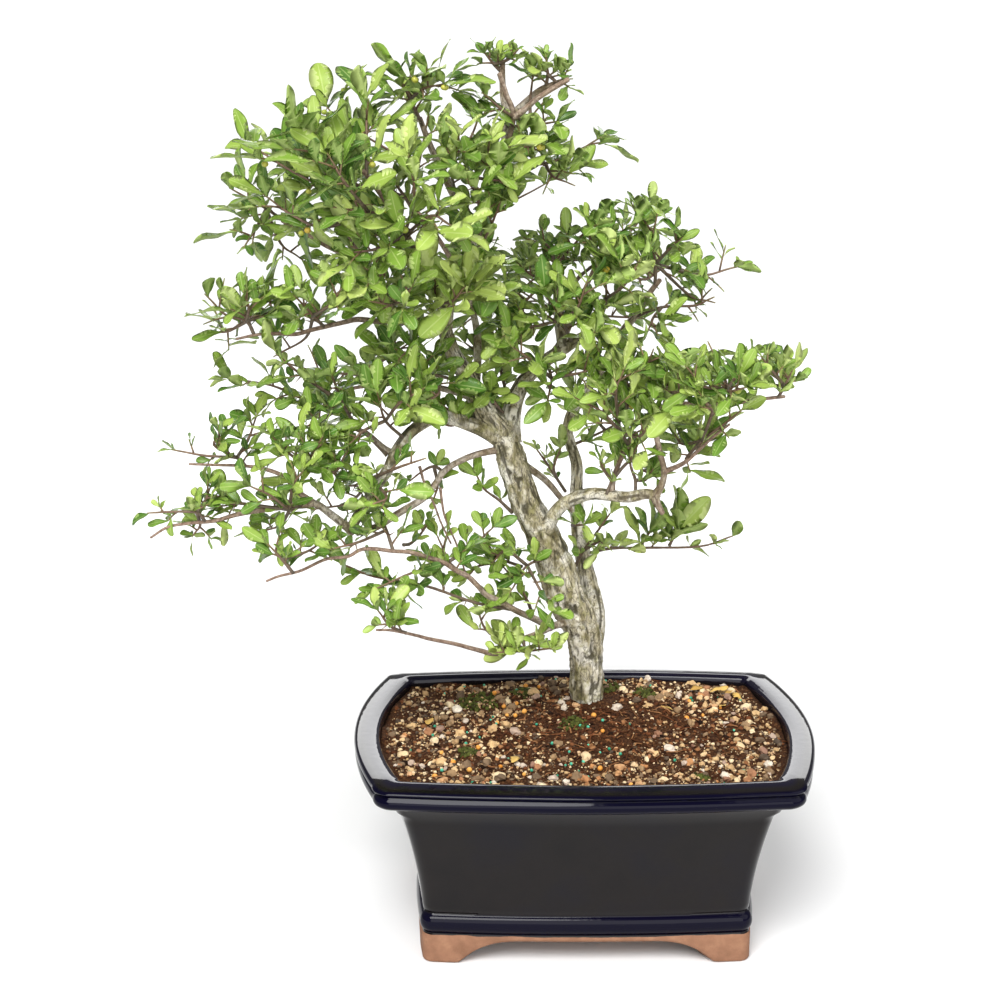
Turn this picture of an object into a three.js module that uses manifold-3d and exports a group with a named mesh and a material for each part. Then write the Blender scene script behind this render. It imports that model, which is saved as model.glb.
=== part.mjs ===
// A firethorn bonsai (Pyracantha) in a glazed, footed rectangular pot, at its real size in mm, +Z up.
// The tree, soil and screens are placed round the middle of the pot's foot, with X along its long side
// and the front at -Y. At the end the group moves so that the origin is the bottom centre of the whole.
import * as THREE from "three";
import { mergeVertices } from "three/addons/utils/BufferGeometryUtils.js";
import Module from "manifold-3d";

const wasm = await Module();
wasm.setup();

// Driving dimensions of the pot
const rimX = 124.5; // half length of the rim from corner to corner
const rimY = 99.5; // half depth of the rim
const rimBowX = 14.8; // how far the rim's short sides swell outwards
const rimBowY = 6.4; // and its long sides
const rimTop = 122;
const rimWidth = 15.5;
const footX = 97.5; // half length of the foot
const footY = 72.5;
const footBow = 4;
const bandFrom = 19; // the half-round band over the foot
const bandTo = 30.5;
const floorUnder = 15; // underside of the floor, which the feet lift off the table
const floorTop = 24;
const wallThick = 7;
const footPad = 21; // how long each foot stands flat along each side
const archRun = 40; // run of the curve that rises from a foot to the apron
const drainRadius = 9;
const drainX = 52; // the two drain holes lie at -drainX and drainX

// Driving dimensions of what the pot holds
const clearance = 0.35; // between pieces that touch
const soilEdge = 114; // soil height along the wall
const soilMound = 6.5; // and how much it rises round the trunk
const screenSize = 30;
const screenThick = 0.9;
const screenBar = 1.6;
const screenCells = 3; // openings along each side
const pebbleCount = 18;

// Driving dimensions of the foliage
const leafThick = 0.9;
const twigRadius = 1.25; // a leafy stem where it leaves its limb
const twigTip = 0.65;
const shootRadius = 0.8;
const goldenAngle = 2.39996;
const leafSpacing = 9; // nearest that two leaves of one spray have their middles
const leafGap = 0.35; // nearest that a leaf comes to another spray, a limb or the pot
const leafBreadth = 0.42; // a leaf's width as a share of its length
const sliver = 0.12; // faces thinner than this are merged into their neighbours
const leafDroop = 0.16; // how far its end arches down, as a share of its length
const leavesPerTip = 2; // leaves kept at the end of each stem and fork
const leavesPerShoot = 2; // and on each side shoot kept
const shootEvery = 2; // one stem or fork in so many keeps a side shoot
const shootKept = 2; // the one kept, counted from the foot
const crownCentre = new THREE.Vector3(-60, 35, 330); // the leaves face away from here

// The limbs, each a route through points in whole millimetres, read off the photograph for X and Z with the
// depth chosen so that the crown is full all round. Radii run evenly from the first point to the last.
const limbs = [
  {
    name: "trunk",
    radii: [13.5, 13.6, 13.2, 12.7, 11.8, 9.9, 8.9, 8, 7.1, 5.4, 4.6, 4.1],
    sides: 12,
    flute: 0.03,
    route: [
      [8, 49, 74], [8, 49, 96], [7, 48, 127], [6, 48, 145], [4, 47, 160], [0, 46, 175], [-8, 44, 190],
      [-16, 41, 212], [-25, 38, 233], [-35, 35, 254], [-41, 33, 273], [-46, 31, 290], [-51, 30, 301],
      [-60, 28, 312], [-65, 26, 323], [-70, 24, 334], [-77, 22, 346], [-81, 21, 356], [-84, 20, 366],
    ],
  },
  {
    name: "leader",
    radii: [4.4, 3.4, 1.6],
    sides: 6,
    route: [
      [-84, 20, 365], [-81, 21, 378], [-76, 23, 389], [-72, 25, 402], [-68, 27, 415], [-70, 28, 430],
      [-77, 28, 441], [-84, 28, 455], [-91, 27, 470], [-97, 26, 486],
    ],
  },
  {
    name: "right_fork",
    radii: [6.2, 4.6, 4.2, 2.8],
    sides: 8,
    route: [
      [-46, 32, 293], [-43, 36, 312], [-37, 39, 326], [-28, 42, 336], [-18, 44, 343], [-7, 46, 350],
      [4, 48, 356], [11, 49, 363],
    ],
  },
  {
    name: "second_stem",
    radii: [7.5, 6.2, 5.3, 4.3, 3.3, 3, 2.4, 1.6],
    sides: 8,
    flute: 0.02,
    route: [
      [7, 54, 139], [10, 58, 156], [12, 62, 170], [10, 66, 182], [7, 69, 194], [3, 72, 208], [0, 74, 222],
      [-2, 76, 237], [-2, 78, 251], [-2, 80, 266], [-6, 82, 278], [-8, 83, 288], [-5, 82, 300],
      [3, 78, 313], [11, 72, 327], [18, 67, 339], [22, 64, 348], [26, 62, 356], [31, 60, 363],
      [35, 58, 370], [41, 56, 380], [46, 54, 387],
    ],
  },
  {
    name: "y_branch",
    radii: [3.2, 2.0],
    route: [
      [-12, 45, 347], [-15, 52, 362], [-16, 56, 376], [-20, 60, 390],
    ],
  },
  {
    name: "y_branch_fork",
    radii: [2.0, 1.3],
    route: [
      [-16, 56, 377], [-10, 54, 381], [-1, 52, 391],
    ],
  },
  {
    name: "low_right",
    radii: [3.8, 3.2, 2.7],
    sides: 6,
    route: [
      [-25, 36, 230], [-20, 30, 243], [-13, 25, 254], [-3, 20, 261], [6, 16, 264], [16, 12, 264],
      [26, 8, 264], [36, 4, 267], [43, 2, 266],
    ],
  },
  {
    name: "low_right_stub",
    radii: [2.4, 1.5],
    route: [
      [41, 2, 266], [43, 1, 261], [46, 0, 256],
    ],
  },
  {
    name: "right_rise",
    radii: [2.3, 1.1],
    route: [
      [41, 2, 266], [45, 0, 274], [46, -2, 283], [43, -4, 295], [41, -5, 306], [43, -6, 318],
      [52, -8, 324], [65, -10, 325], [82, -11, 325], [99, -12, 328], [114, -13, 330],
    ],
  },
  {
    name: "right_rise_low",
    radii: [1.5, 0.8],
    route: [
      [46, -2, 282], [57, -8, 289], [66, -13, 299], [73, -17, 307], [82, -19, 315],
    ],
  },
  {
    name: "mid_rise",
    radii: [1.9, 1.0],
    route: [
      [16, 12, 264], [17, 14, 273], [21, 16, 284], [26, 17, 293], [28, 16, 304], [25, 14, 316],
    ],
  },
  {
    name: "left_main",
    radii: [4.4, 3.5, 3.2],
    sides: 6,
    route: [
      [-51, 29, 296], [-64, 24, 303], [-77, 19, 309], [-86, 15, 312], [-94, 12, 310], [-104, 6, 304],
      [-112, 0, 294], [-117, -5, 284], [-124, -10, 275], [-130, -14, 265], [-135, -17, 258],
      [-138, -19, 252],
    ],
  },
  {
    name: "left_main_stub",
    radii: [2.5, 1.2],
    route: [
      [-116, 1, 293], [-121, 2, 297], [-129, 4, 304], [-137, 5, 308], [-144, 6, 318],
    ],
  },
  {
    name: "left_low",
    radii: [2.0, 2.4],
    route: [
      [-47, 32, 288], [-64, 22, 287], [-76, 14, 284], [-84, 7, 280], [-89, 1, 274], [-96, -5, 267],
      [-110, -12, 260], [-123, -17, 253], [-135, -19, 250],
    ],
  },
  {
    name: "far_left_a",
    radii: [2.9, 0.7],
    route: [
      [-137, -19, 251], [-142, -22, 256], [-149, -26, 263], [-157, -29, 270], [-164, -31, 270],
      [-174, -34, 270], [-187, -37, 269], [-202, -40, 267], [-214, -42, 264], [-229, -44, 263],
      [-241, -45, 261], [-251, -46, 255],
    ],
  },
  {
    name: "far_left_b",
    radii: [1.7, 0.8],
    route: [
      [-156, -29, 269], [-168, -26, 277], [-176, -23, 285], [-188, -20, 289], [-201, -17, 290],
      [-217, -15, 290], [-232, -13, 290],
    ],
  },
  {
    name: "lowest",
    radii: [2.6, 0.8],
    route: [
      [-5, 43, 174], [-12, 36, 175], [-20, 28, 175], [-30, 19, 173], [-40, 11, 172], [-47, 4, 168],
      [-56, -2, 169], [-62, -6, 172], [-70, -11, 176], [-78, -16, 180], [-93, -24, 186], [-101, -29, 190],
      [-114, -35, 195], [-123, -40, 197],
    ],
  },
  {
    name: "lowest_rise",
    radii: [2.2, 0.8],
    route: [
      [-19, 29, 175], [-29, 21, 183], [-40, 12, 191], [-51, 4, 200], [-59, -2, 206], [-64, -6, 213],
      [-70, -9, 220], [-77, -13, 225], [-84, -17, 231], [-92, -21, 235], [-103, -26, 240],
      [-113, -30, 242], [-125, -35, 245], [-132, -38, 245], [-139, -41, 242], [-151, -46, 242],
      [-165, -52, 237], [-177, -56, 235], [-184, -59, 233],
    ],
  },
  {
    name: "upper_left_bar",
    radii: [2.6, 0.8],
    route: [
      [-85, 20, 364], [-92, 18, 369], [-99, 15, 369], [-109, 10, 370], [-122, 5, 371], [-133, 0, 373],
      [-141, -4, 372], [-158, -10, 369], [-168, -14, 367], [-178, -17, 368], [-189, -20, 368],
      [-201, -23, 366],
    ],
  },
  {
    name: "upper_left_rise",
    radii: [2.8, 1.3],
    route: [
      [-107, 12, 369], [-113, 17, 375], [-115, 22, 382], [-120, 27, 389], [-133, 33, 399], [-145, 38, 406],
      [-154, 41, 410], [-167, 44, 417], [-180, 46, 424],
    ],
  },
  {
    name: "forward_rise",
    radii: [3.0, 1.3],
    route: [
      [-80, 21, 379], [-87, 14, 391], [-94, 6, 403], [-99, -1, 413], [-105, -8, 425], [-111, -15, 437],
      [-119, -22, 450], [-127, -28, 462],
    ],
  },
  {
    name: "apex_stem",
    radii: [2.8, 2.6],
    route: [
      [-71, 26, 405], [-65, 32, 417], [-58, 38, 434], [-52, 42, 451], [-48, 45, 468], [-46, 46, 483],
      [-45, 46, 487],
    ],
  },
  {
    name: "apex_prong_left",
    radii: [2.4, 1.7],
    route: [
      [-45, 46, 485], [-48, 45, 494], [-49, 44, 505], [-49, 43, 516],
    ],
  },
  {
    name: "apex_prong_right",
    radii: [2.6, 1.6],
    route: [
      [-45, 46, 484], [-39, 43, 490], [-28, 39, 500], [-20, 36, 504], [-12, 34, 507],
    ],
  },
  {
    name: "back_limb",
    radii: [3.0, 1.2],
    route: [
      [-66, 27, 324], [-64, 46, 340], [-65, 64, 357], [-71, 80, 375], [-81, 94, 394], [-94, 106, 412],
      [-108, 115, 427],
    ],
  },
  {
    name: "back_right_limb",
    radii: [2.6, 1.2],
    route: [
      [-18, 45, 343], [-10, 64, 353], [-2, 82, 367], [6, 98, 381], [13, 110, 395],
    ],
  },
  {
    name: "back_left_limb",
    radii: [2.6, 1.0],
    route: [
      [-64, 29, 319], [-78, 50, 319], [-95, 68, 319], [-115, 84, 317], [-136, 98, 312], [-156, 109, 306],
    ],
  },
];

// The sprays. A stem starts inside its limb, every fork starts at the stem's second point, and the last
// point of each is near its tip. leaf is the usual leaf's length, reach that of the longer side shoots.
const sprays = [
  {
    name: "crown_far_left",
    leaf: 14,
    shoots: 4,
    reach: 17,
    stem: [[-173, 45, 420], [-189, 46, 431], [-205, 42, 441]],
    forks: [
      [[-194, 34, 421], [-198, 28, 415]],
      [[-182, 56, 409], [-173, 60, 401]],
    ],
  },
  {
    name: "crown_left_tip",
    leaf: 18,
    shoots: 5,
    reach: 17,
    stem: [[-122, -24, 454], [-143, -24, 451], [-166, -20, 460], [-186, -16, 472]],
    forks: [
      [[-153, -34, 473], [-159, -36, 485]],
    ],
  },
  {
    name: "crown_top_left",
    leaf: 17,
    shoots: 4,
    reach: 17,
    stem: [[-125, -27, 459], [-125, -22, 478], [-125, -16, 495]],
    forks: [
      [[-139, 0, 483], [-147, 10, 491]],
    ],
  },
  {
    name: "crown_top_mid",
    leaf: 15,
    shoots: 5,
    reach: 17,
    stem: [[-95, 26, 481], [-102, 20, 497], [-107, 14, 508]],
    forks: [
      [[-94, 4, 504], [-84, -4, 507]],
    ],
  },
  {
    name: "apex_left",
    leaf: 11,
    shoots: 4,
    reach: 10,
    stem: [[-49, 44, 510], [-54, 42, 515], [-58, 40, 520]],
    forks: [
      [[-46, 38, 518], [-42, 36, 522]],
    ],
  },
  {
    name: "apex_right",
    leaf: 12,
    shoots: 4,
    reach: 11,
    stem: [[-24, 37, 503], [-23, 32, 510], [-24, 28, 518]],
    forks: [
      [[-16, 30, 505], [-13, 26, 511]],
    ],
  },
  {
    name: "apex_low",
    leaf: 14,
    shoots: 4,
    reach: 17,
    stem: [[-47, 46, 479], [-33, 30, 481], [-21, 18, 484]],
    forks: [
      [[-48, 8, 491], [-57, 2, 499]],
      [[-33, 36, 495], [-32, 40, 503]],
    ],
  },
  {
    name: "crown_right",
    leaf: 18,
    shoots: 5,
    reach: 17,
    stem: [[-50, 43, 457], [-24, 42, 458], [-4, 40, 466], [4, 38, 471]],
    forks: [
      [[-20, 30, 452], [-12, 26, 449]],
      [[-39, 24, 468], [-31, 18, 471]],
    ],
  },
  {
    name: "crown_front_mid",
    leaf: 15,
    shoots: 5,
    reach: 17,
    stem: [[-76, 28, 440], [-78, -2, 458], [-74, -30, 479]],
    forks: [
      [[-61, -14, 467], [-50, -18, 472]],
      [[-59, -20, 456], [-49, -24, 456]],
    ],
  },
  {
    name: "crown_front_left",
    leaf: 16,
    shoots: 5,
    reach: 17,
    stem: [[-112, -16, 438], [-124, -30, 439], [-140, -42, 443]],
    forks: [
      [[-136, -48, 458], [-142, -50, 469]],
      [[-149, -26, 430], [-168, -18, 436], [-180, -14, 444]],
    ],
  },
  {
    name: "crown_front",
    leaf: 16,
    shoots: 5,
    reach: 17,
    stem: [[-99, -1, 414], [-104, -22, 425], [-98, -36, 447], [-100, -50, 469]],
    forks: [
      [[-89, -44, 439], [-79, -50, 435]],
      [[-119, -32, 419], [-133, -34, 417]],
      [[-116, -32, 406], [-127, -34, 400]],
    ],
  },
  {
    name: "crown_heart",
    leaf: 15,
    shoots: 5,
    reach: 17,
    stem: [[-72, 25, 403], [-62, 6, 415], [-55, 2, 429], [-51, -8, 441]],
    forks: [
      [[-63, -12, 443], [-68, -30, 455]],
      [[-63, 0, 401], [-56, -8, 394]],
    ],
  },
  {
    name: "bright_centre",
    leaf: 18,
    shoots: 5,
    reach: 17,
    stem: [[-83, 20, 363], [-87, -4, 383], [-88, -16, 399]],
    forks: [
      [[-78, -20, 387], [-72, -26, 395]],
    ],
  },
  {
    name: "crown_back_left",
    leaf: 16,
    shoots: 5,
    reach: 17,
    stem: [[-94, 106, 412], [-122, 118, 419], [-153, 120, 433]],
    forks: [
      [[-131, 129, 400], [-150, 131, 386]],
    ],
  },
  {
    name: "crown_back_top",
    leaf: 16,
    shoots: 5,
    reach: 17,
    stem: [[-106, 114, 425], [-101, 120, 448], [-95, 112, 476]],
    forks: [
      [[-118, 104, 459], [-135, 98, 470]],
    ],
  },
  {
    name: "crown_back_right",
    leaf: 16,
    shoots: 5,
    reach: 17,
    stem: [[-77, 89, 387], [-71, 100, 391], [-54, 108, 419], [-25, 104, 437]],
    forks: [
      [[-50, 118, 388], [-37, 122, 379]],
      [[-88, 110, 370], [-104, 124, 370]],
      [[-68, 118, 364], [-65, 126, 346]],
    ],
  },
  {
    name: "crown_back_high",
    leaf: 15,
    shoots: 5,
    reach: 17,
    stem: [[-84, 28, 455], [-69, 64, 469], [-62, 78, 485]],
    forks: [
      [[-50, 84, 460], [-34, 90, 466]],
    ],
  },
  {
    name: "crown_left_back",
    leaf: 16,
    shoots: 5,
    reach: 17,
    stem: [[-121, 28, 390], [-147, 72, 415], [-175, 84, 432]],
    forks: [
      [[-163, 66, 453], [-179, 58, 460]],
    ],
  },
  {
    name: "bar_tip",
    leaf: 17,
    shoots: 4,
    reach: 17,
    stem: [[-191, -20, 368], [-195, -22, 376], [-206, -28, 381], [-213, -30, 389]],
    forks: [
      [[-192, -34, 386], [-193, -38, 392]],
      [[-183, -8, 379], [-184, -2, 386]],
      [[-205, -18, 370], [-212, -14, 368]],
    ],
  },
  {
    name: "bar_mid",
    leaf: 15,
    shoots: 4,
    reach: 17,
    stem: [[-152, -8, 370], [-157, -20, 379], [-164, -32, 390]],
    forks: [
      [[-146, -36, 388], [-140, -42, 397]],
      [[-164, 6, 361], [-181, 20, 349]],
    ],
  },
  {
    name: "bar_inner",
    leaf: 15,
    shoots: 4,
    reach: 17,
    stem: [[-117, 7, 371], [-120, 4, 378], [-132, 34, 381]],
    forks: [
      [[-119, 46, 377], [-114, 54, 385]],
      [[-112, -28, 386], [-121, -44, 391]],
      [[-105, -36, 391], [-101, -44, 398]],
    ],
  },
  {
    name: "left_mid_twig",
    leaf: 15,
    shoots: 5,
    reach: 17,
    stem: [[-68, 25, 329], [-92, 8, 339], [-114, -8, 344], [-132, -16, 349]],
    forks: [
      [[-98, -8, 352], [-109, -16, 358]],
      [[-86, -4, 331], [-95, -10, 326]],
    ],
  },
  {
    name: "left_mid_front",
    leaf: 15,
    shoots: 5,
    reach: 17,
    stem: [[-134, 5, 306], [-142, -6, 324], [-146, -22, 342]],
    forks: [
      [[-164, 0, 326], [-184, 0, 334], [-204, -2, 338]],
      [[-166, -14, 344], [-175, -18, 353]],
      [[-154, -18, 317], [-159, -22, 316]],
    ],
  },
  {
    name: "left_mid_low",
    leaf: 16,
    shoots: 4,
    reach: 17,
    stem: [[-107, 4, 301], [-117, -18, 317], [-120, -30, 333]],
    forks: [
      [[-108, -34, 331], [-97, -40, 339]],
      [[-129, -30, 314], [-135, -34, 309]],
    ],
  },
  {
    name: "left_mid_back",
    leaf: 15,
    shoots: 5,
    reach: 17,
    stem: [[-126, 92, 315], [-138, 98, 319], [-166, 106, 320], [-181, 98, 326]],
    forks: [
      [[-159, 112, 301], [-168, 116, 290]],
      [[-118, 96, 333], [-110, 92, 339]],
    ],
  },
  {
    name: "far_left_tip",
    leaf: 10,
    shoots: 4,
    reach: 10,
    stem: [[-220, -43, 264], [-224, -46, 270], [-238, -48, 271], [-248, -50, 271]],
    forks: [
      [[-220, -38, 275], [-218, -34, 280]],
      [[-224, -34, 259], [-228, -30, 253]],
    ],
  },
  {
    name: "far_left_near",
    leaf: 12,
    shoots: 4,
    reach: 13,
    stem: [[-166, -32, 270], [-171, -44, 271], [-181, -50, 281], [-190, -52, 286]],
    forks: [
      [[-168, -56, 288], [-163, -60, 296]],
      [[-178, -30, 258], [-187, -24, 253]],
      [[-201, -34, 272], [-210, -32, 270]],
    ],
  },
  {
    name: "left_b_tip",
    leaf: 11,
    shoots: 4,
    reach: 11,
    stem: [[-199, -17, 290], [-204, -14, 294], [-222, -13, 295], [-238, -13, 298]],
    forks: [
      [[-198, -6, 303], [-194, -2, 314]],
      [[-216, -22, 304], [-209, -24, 311]],
    ],
  },
  {
    name: "left_b_near",
    leaf: 13,
    shoots: 5,
    reach: 15,
    stem: [[-167, -26, 276], [-161, -38, 296], [-153, -44, 311]],
    forks: [
      [[-171, -43, 304], [-177, -47, 312]],
      [[-146, -36, 291], [-140, -34, 300]],
    ],
  },
  {
    name: "elbow_up",
    leaf: 14,
    shoots: 4,
    reach: 14,
    stem: [[-123, -9, 276], [-126, -20, 283], [-138, -10, 276], [-147, 4, 279]],
    forks: [
      [[-110, -30, 292], [-97, -36, 298]],
      [[-116, -38, 277], [-123, -42, 274]],
      [[-140, 8, 261], [-159, 16, 255]],
    ],
  },
  {
    name: "fan_tip",
    leaf: 12,
    shoots: 4,
    reach: 13,
    stem: [[-169, -54, 236], [-175, -56, 245], [-181, -56, 252]],
    forks: [
      [[-162, -48, 247], [-154, -44, 251]],
    ],
  },
  {
    name: "fan_high",
    leaf: 13,
    shoots: 4,
    reach: 14,
    stem: [[-113, -30, 242], [-117, -24, 253], [-121, -20, 263]],
    forks: [
      [[-132, -38, 250], [-144, -46, 249]],
    ],
  },
  {
    name: "fan_low",
    leaf: 13,
    shoots: 4,
    reach: 13,
    stem: [[-75, -12, 224], [-81, -2, 227], [-87, 8, 237]],
    forks: [
      [[-66, 10, 234], [-57, 12, 242]],
      [[-103, -22, 226], [-122, -28, 219]],
    ],
  },
  {
    name: "fan_shoot",
    leaf: 12,
    shoots: 8,
    reach: 7,
    stem: [[-41, 11, 192], [-66, 2, 200], [-96, -8, 214], [-125, -16, 222], [-141, -20, 230]],
    forks: [],
  },
  {
    name: "lowest_tip",
    leaf: 11,
    shoots: 4,
    reach: 9,
    stem: [[-106, -31, 192], [-115, -36, 198], [-121, -38, 207]],
    forks: [
      [[-110, -30, 205], [-114, -28, 211]],
    ],
  },
  {
    name: "base_bright",
    leaf: 13,
    shoots: 4,
    reach: 12,
    stem: [[-37, 14, 173], [-34, 4, 169], [-22, -8, 174]],
    forks: [
      [[-43, -2, 170], [-51, -6, 171]],
      [[-57, 6, 179], [-64, 8, 192]],
    ],
  },
  {
    name: "inner_shoot",
    leaf: 13,
    shoots: 4,
    reach: 12,
    stem: [[-18, 40, 217], [-34, 22, 217], [-43, 8, 207]],
    forks: [
      [[-27, 4, 208], [-21, -2, 199]],
      [[-47, 14, 229], [-54, 16, 222]],
    ],
  },
  {
    name: "right_crown_top",
    leaf: 15,
    shoots: 5,
    reach: 17,
    stem: [[-17, 58, 381], [-17, 56, 394], [-7, 54, 407], [5, 48, 423]],
    forks: [
      [[-21, 62, 406], [-31, 66, 409]],
      [[-29, 42, 391], [-39, 36, 399]],
      [[-33, 24, 382], [-39, 18, 378]],
    ],
  },
  {
    name: "right_crown_mid",
    leaf: 15,
    shoots: 5,
    reach: 17,
    stem: [[-2, 52, 390], [11, 42, 403], [23, 38, 418]],
    forks: [
      [[3, 28, 414], [1, 24, 423]],
    ],
  },
  {
    name: "right_crown_far",
    leaf: 16,
    shoots: 4,
    reach: 17,
    stem: [[43, 55, 383], [43, 52, 397], [40, 48, 411], [42, 46, 423]],
    forks: [
      [[51, 36, 410], [55, 30, 415]],
      [[70, 58, 389], [89, 60, 393]],
      [[65, 60, 376], [75, 62, 373]],
    ],
  },
  {
    name: "right_crown_low",
    leaf: 17,
    shoots: 4,
    reach: 12,
    stem: [[31, 60, 363], [47, 50, 371], [66, 44, 373], [74, 42, 377]],
    forks: [
      [[40, 34, 366], [42, 30, 361]],
    ],
  },
  {
    name: "right_crown_front",
    leaf: 16,
    shoots: 5,
    reach: 17,
    stem: [[10, 49, 362], [12, 24, 381], [10, 12, 400]],
    forks: [
      [[21, 8, 391], [28, 6, 403]],
      [[1, 14, 364], [5, 8, 357]],
    ],
  },
  {
    name: "right_crown_heart",
    leaf: 16,
    shoots: 5,
    reach: 17,
    stem: [[-7, 46, 350], [-14, 20, 369], [-23, 8, 384]],
    forks: [
      [[-6, 2, 379], [-2, -4, 392]],
      [[-32, 10, 367], [-44, 6, 370]],
    ],
  },
  {
    name: "right_back_top",
    leaf: 15,
    shoots: 5,
    reach: 17,
    stem: [[6, 98, 381], [16, 108, 392], [15, 120, 419]],
    forks: [
      [[34, 112, 411], [41, 108, 422]],
      [[38, 104, 379], [50, 108, 384]],
      [[-11, 116, 389], [-25, 118, 390]],
    ],
  },
  {
    name: "right_back_low",
    leaf: 15,
    shoots: 5,
    reach: 17,
    stem: [[-8, 68, 356], [-15, 88, 361], [-33, 98, 370]],
    forks: [
      [[13, 104, 356], [36, 112, 353]],
    ],
  },
  {
    name: "pad_tip",
    leaf: 14,
    shoots: 4,
    reach: 11,
    stem: [[110, -13, 329], [114, -12, 336], [117, -12, 343]],
    forks: [
      [[105, -24, 347], [99, -30, 355]],
      [[104, 4, 334], [100, 8, 339]],
    ],
  },
  {
    name: "pad_mid",
    leaf: 16,
    shoots: 4,
    reach: 15,
    stem: [[85, -11, 325], [81, -14, 335], [78, 2, 344], [73, 6, 354]],
    forks: [
      [[92, 12, 343], [97, 16, 348]],
      [[65, -32, 340], [56, -40, 351]],
      [[79, -40, 339], [85, -46, 342]],
    ],
  },
  {
    name: "pad_near",
    leaf: 15,
    shoots: 5,
    reach: 15,
    stem: [[44, -6, 320], [47, 6, 328], [50, 14, 341]],
    forks: [
      [[58, 24, 332], [68, 28, 339]],
      [[51, -20, 334], [54, -31, 337]],
    ],
  },
  {
    name: "pad_low",
    leaf: 15,
    shoots: 4,
    reach: 13,
    stem: [[65, -12, 298], [67, -10, 303], [78, -24, 316], [85, -30, 324]],
    forks: [
      [[70, -34, 326], [65, -38, 329]],
      [[59, 2, 289], [64, 6, 290]],
      [[58, 14, 295], [53, 16, 302]],
    ],
  },
  {
    name: "pad_back",
    leaf: 15,
    shoots: 5,
    reach: 17,
    stem: [[7, 75, 320], [38, 92, 319], [69, 96, 323]],
    forks: [
      [[41, 105, 302], [61, 107, 293]],
    ],
  },
  {
    name: "mid_top",
    leaf: 15,
    shoots: 5,
    reach: 17,
    stem: [[25, 14, 314], [23, 18, 328], [17, 14, 344]],
    forks: [
      [[34, 6, 340], [37, 0, 351]],
    ],
  },
  {
    name: "mid_left",
    leaf: 16,
    shoots: 5,
    reach: 17,
    stem: [[26, 17, 294], [20, 4, 305], [9, 0, 318], [-4, -10, 327]],
    forks: [
      [[16, -16, 333], [19, -20, 344]],
      [[31, -4, 304], [37, -10, 315]],
    ],
  },
  {
    name: "fork_under",
    leaf: 15,
    shoots: 4,
    reach: 17,
    stem: [[-23, 43, 340], [-20, 24, 333], [-22, 10, 325]],
    forks: [
      [[-7, 12, 338], [2, 8, 341]],
      [[-33, 6, 348], [-41, 0, 355]],
    ],
  },
  {
    name: "mid_back",
    leaf: 15,
    shoots: 5,
    reach: 17,
    stem: [[-6, 82, 277], [17, 104, 282], [38, 114, 292]],
    forks: [
      [[4, 112, 295], [0, 116, 304]],
    ],
  },
  {
    name: "low_shoot",
    leaf: 15,
    shoots: 9,
    reach: 8,
    stem: [[3, 72, 209], [20, 68, 214], [40, 66, 215], [75, 62, 217], [94, 60, 224]],
    forks: [],
  },
];

const up = new THREE.Vector3(0, 0, 1);
const vec = (point) => new THREE.Vector3(...point);
const mix = (from, to, share) => from + (to - from) * share;

// A fixed draw between 0 and 1 for a pair of whole numbers, the same on every run.
function draw(a, b) {
  const value = Math.sin(a * 12.9898 + b * 78.233) * 43758.5453;
  return value - Math.floor(value);
}

// A solid from a list of points and a list of triangles, leaving out triangles that have shrunk to a line.
function solid(points, faces) {
  const kept = faces.filter(([a, b, c]) => a !== b && b !== c && c !== a);
  return new wasm.Manifold(
    new wasm.Mesh({
      numProp: 3,
      vertProperties: new Float32Array(points.flat()),
      triVerts: new Uint32Array(kept.flat()),
    }),
  );
}

// Merges flat neighbours and slivers into larger faces.
const tidied = (shape) => shape.asOriginal().simplify(sliver);

// A closed three.js geometry as a solid: its positions alone, with shared corners merged.
function solidOf(geometry) {
  const bare = new THREE.BufferGeometry();
  bare.setAttribute("position", geometry.getAttribute("position"));
  bare.setIndex(geometry.index);
  const merged = mergeVertices(bare, 1e-3);
  const { array } = merged.attributes.position;
  const points = [];
  for (let i = 0; i < array.length; i += 3) points.push([...array.subarray(i, i + 3)]);
  const faces = [];
  for (let i = 0; i < merged.index.count; i += 3) faces.push([...merged.index.array.subarray(i, i + 3)]);
  return solid(points, faces);
}

function meshOf(name, shape, material) {
  const { numProp, vertProperties, triVerts } = shape.getMesh();
  const geometry = new THREE.BufferGeometry();
  const count = vertProperties.length / numProp;
  const position = new Float32Array(count * 3);
  for (let i = 0; i < count; i += 1) {
    const start = i * numProp;
    position.set(vertProperties.subarray(start, start + 3), i * 3);
  }
  geometry.setAttribute("position", new THREE.BufferAttribute(position, 3));
  geometry.setIndex(new THREE.BufferAttribute(triVerts, 1));
  geometry.computeVertexNormals();
  const mesh = new THREE.Mesh(geometry, material);
  mesh.name = name;
  return mesh;
}

// The pot

const cornerPoints = 4; // points round each corner
const sidePoints = 4; // points along each side between two corners
const columns = 4 * (cornerPoints + sidePoints);

// Point number `column` of a rectangle with rounded corners whose sides swell outwards.
function outline({ x, y, bowX = 0, bowY = 0, corner = 8 }, column) {
  const quarter = Math.floor(column / (cornerPoints + sidePoints));
  const place = column % (cornerPoints + sidePoints);
  const [signX, signY] = [[1, 1], [-1, 1], [-1, -1], [1, -1]][quarter];
  const radius = Math.min(corner, x, y);
  if (place < cornerPoints) {
    const turn = ((quarter + place / (cornerPoints - 1)) * Math.PI) / 2;
    return [
      signX * (x - radius) + radius * Math.cos(turn),
      signY * (y - radius) + radius * Math.sin(turn),
    ];
  }
  const share = (place - cornerPoints + 1) / (sidePoints + 1); // along the side that follows this corner
  const swell = 1 - (2 * share - 1) ** 2;
  const along = 1 - 2 * share;
  if (quarter % 2 === 0) return [signX * (x - radius) * along, signY * (y + bowY * swell)];
  return [signX * (x + bowX * swell), signY * (y - radius) * along];
}

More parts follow.
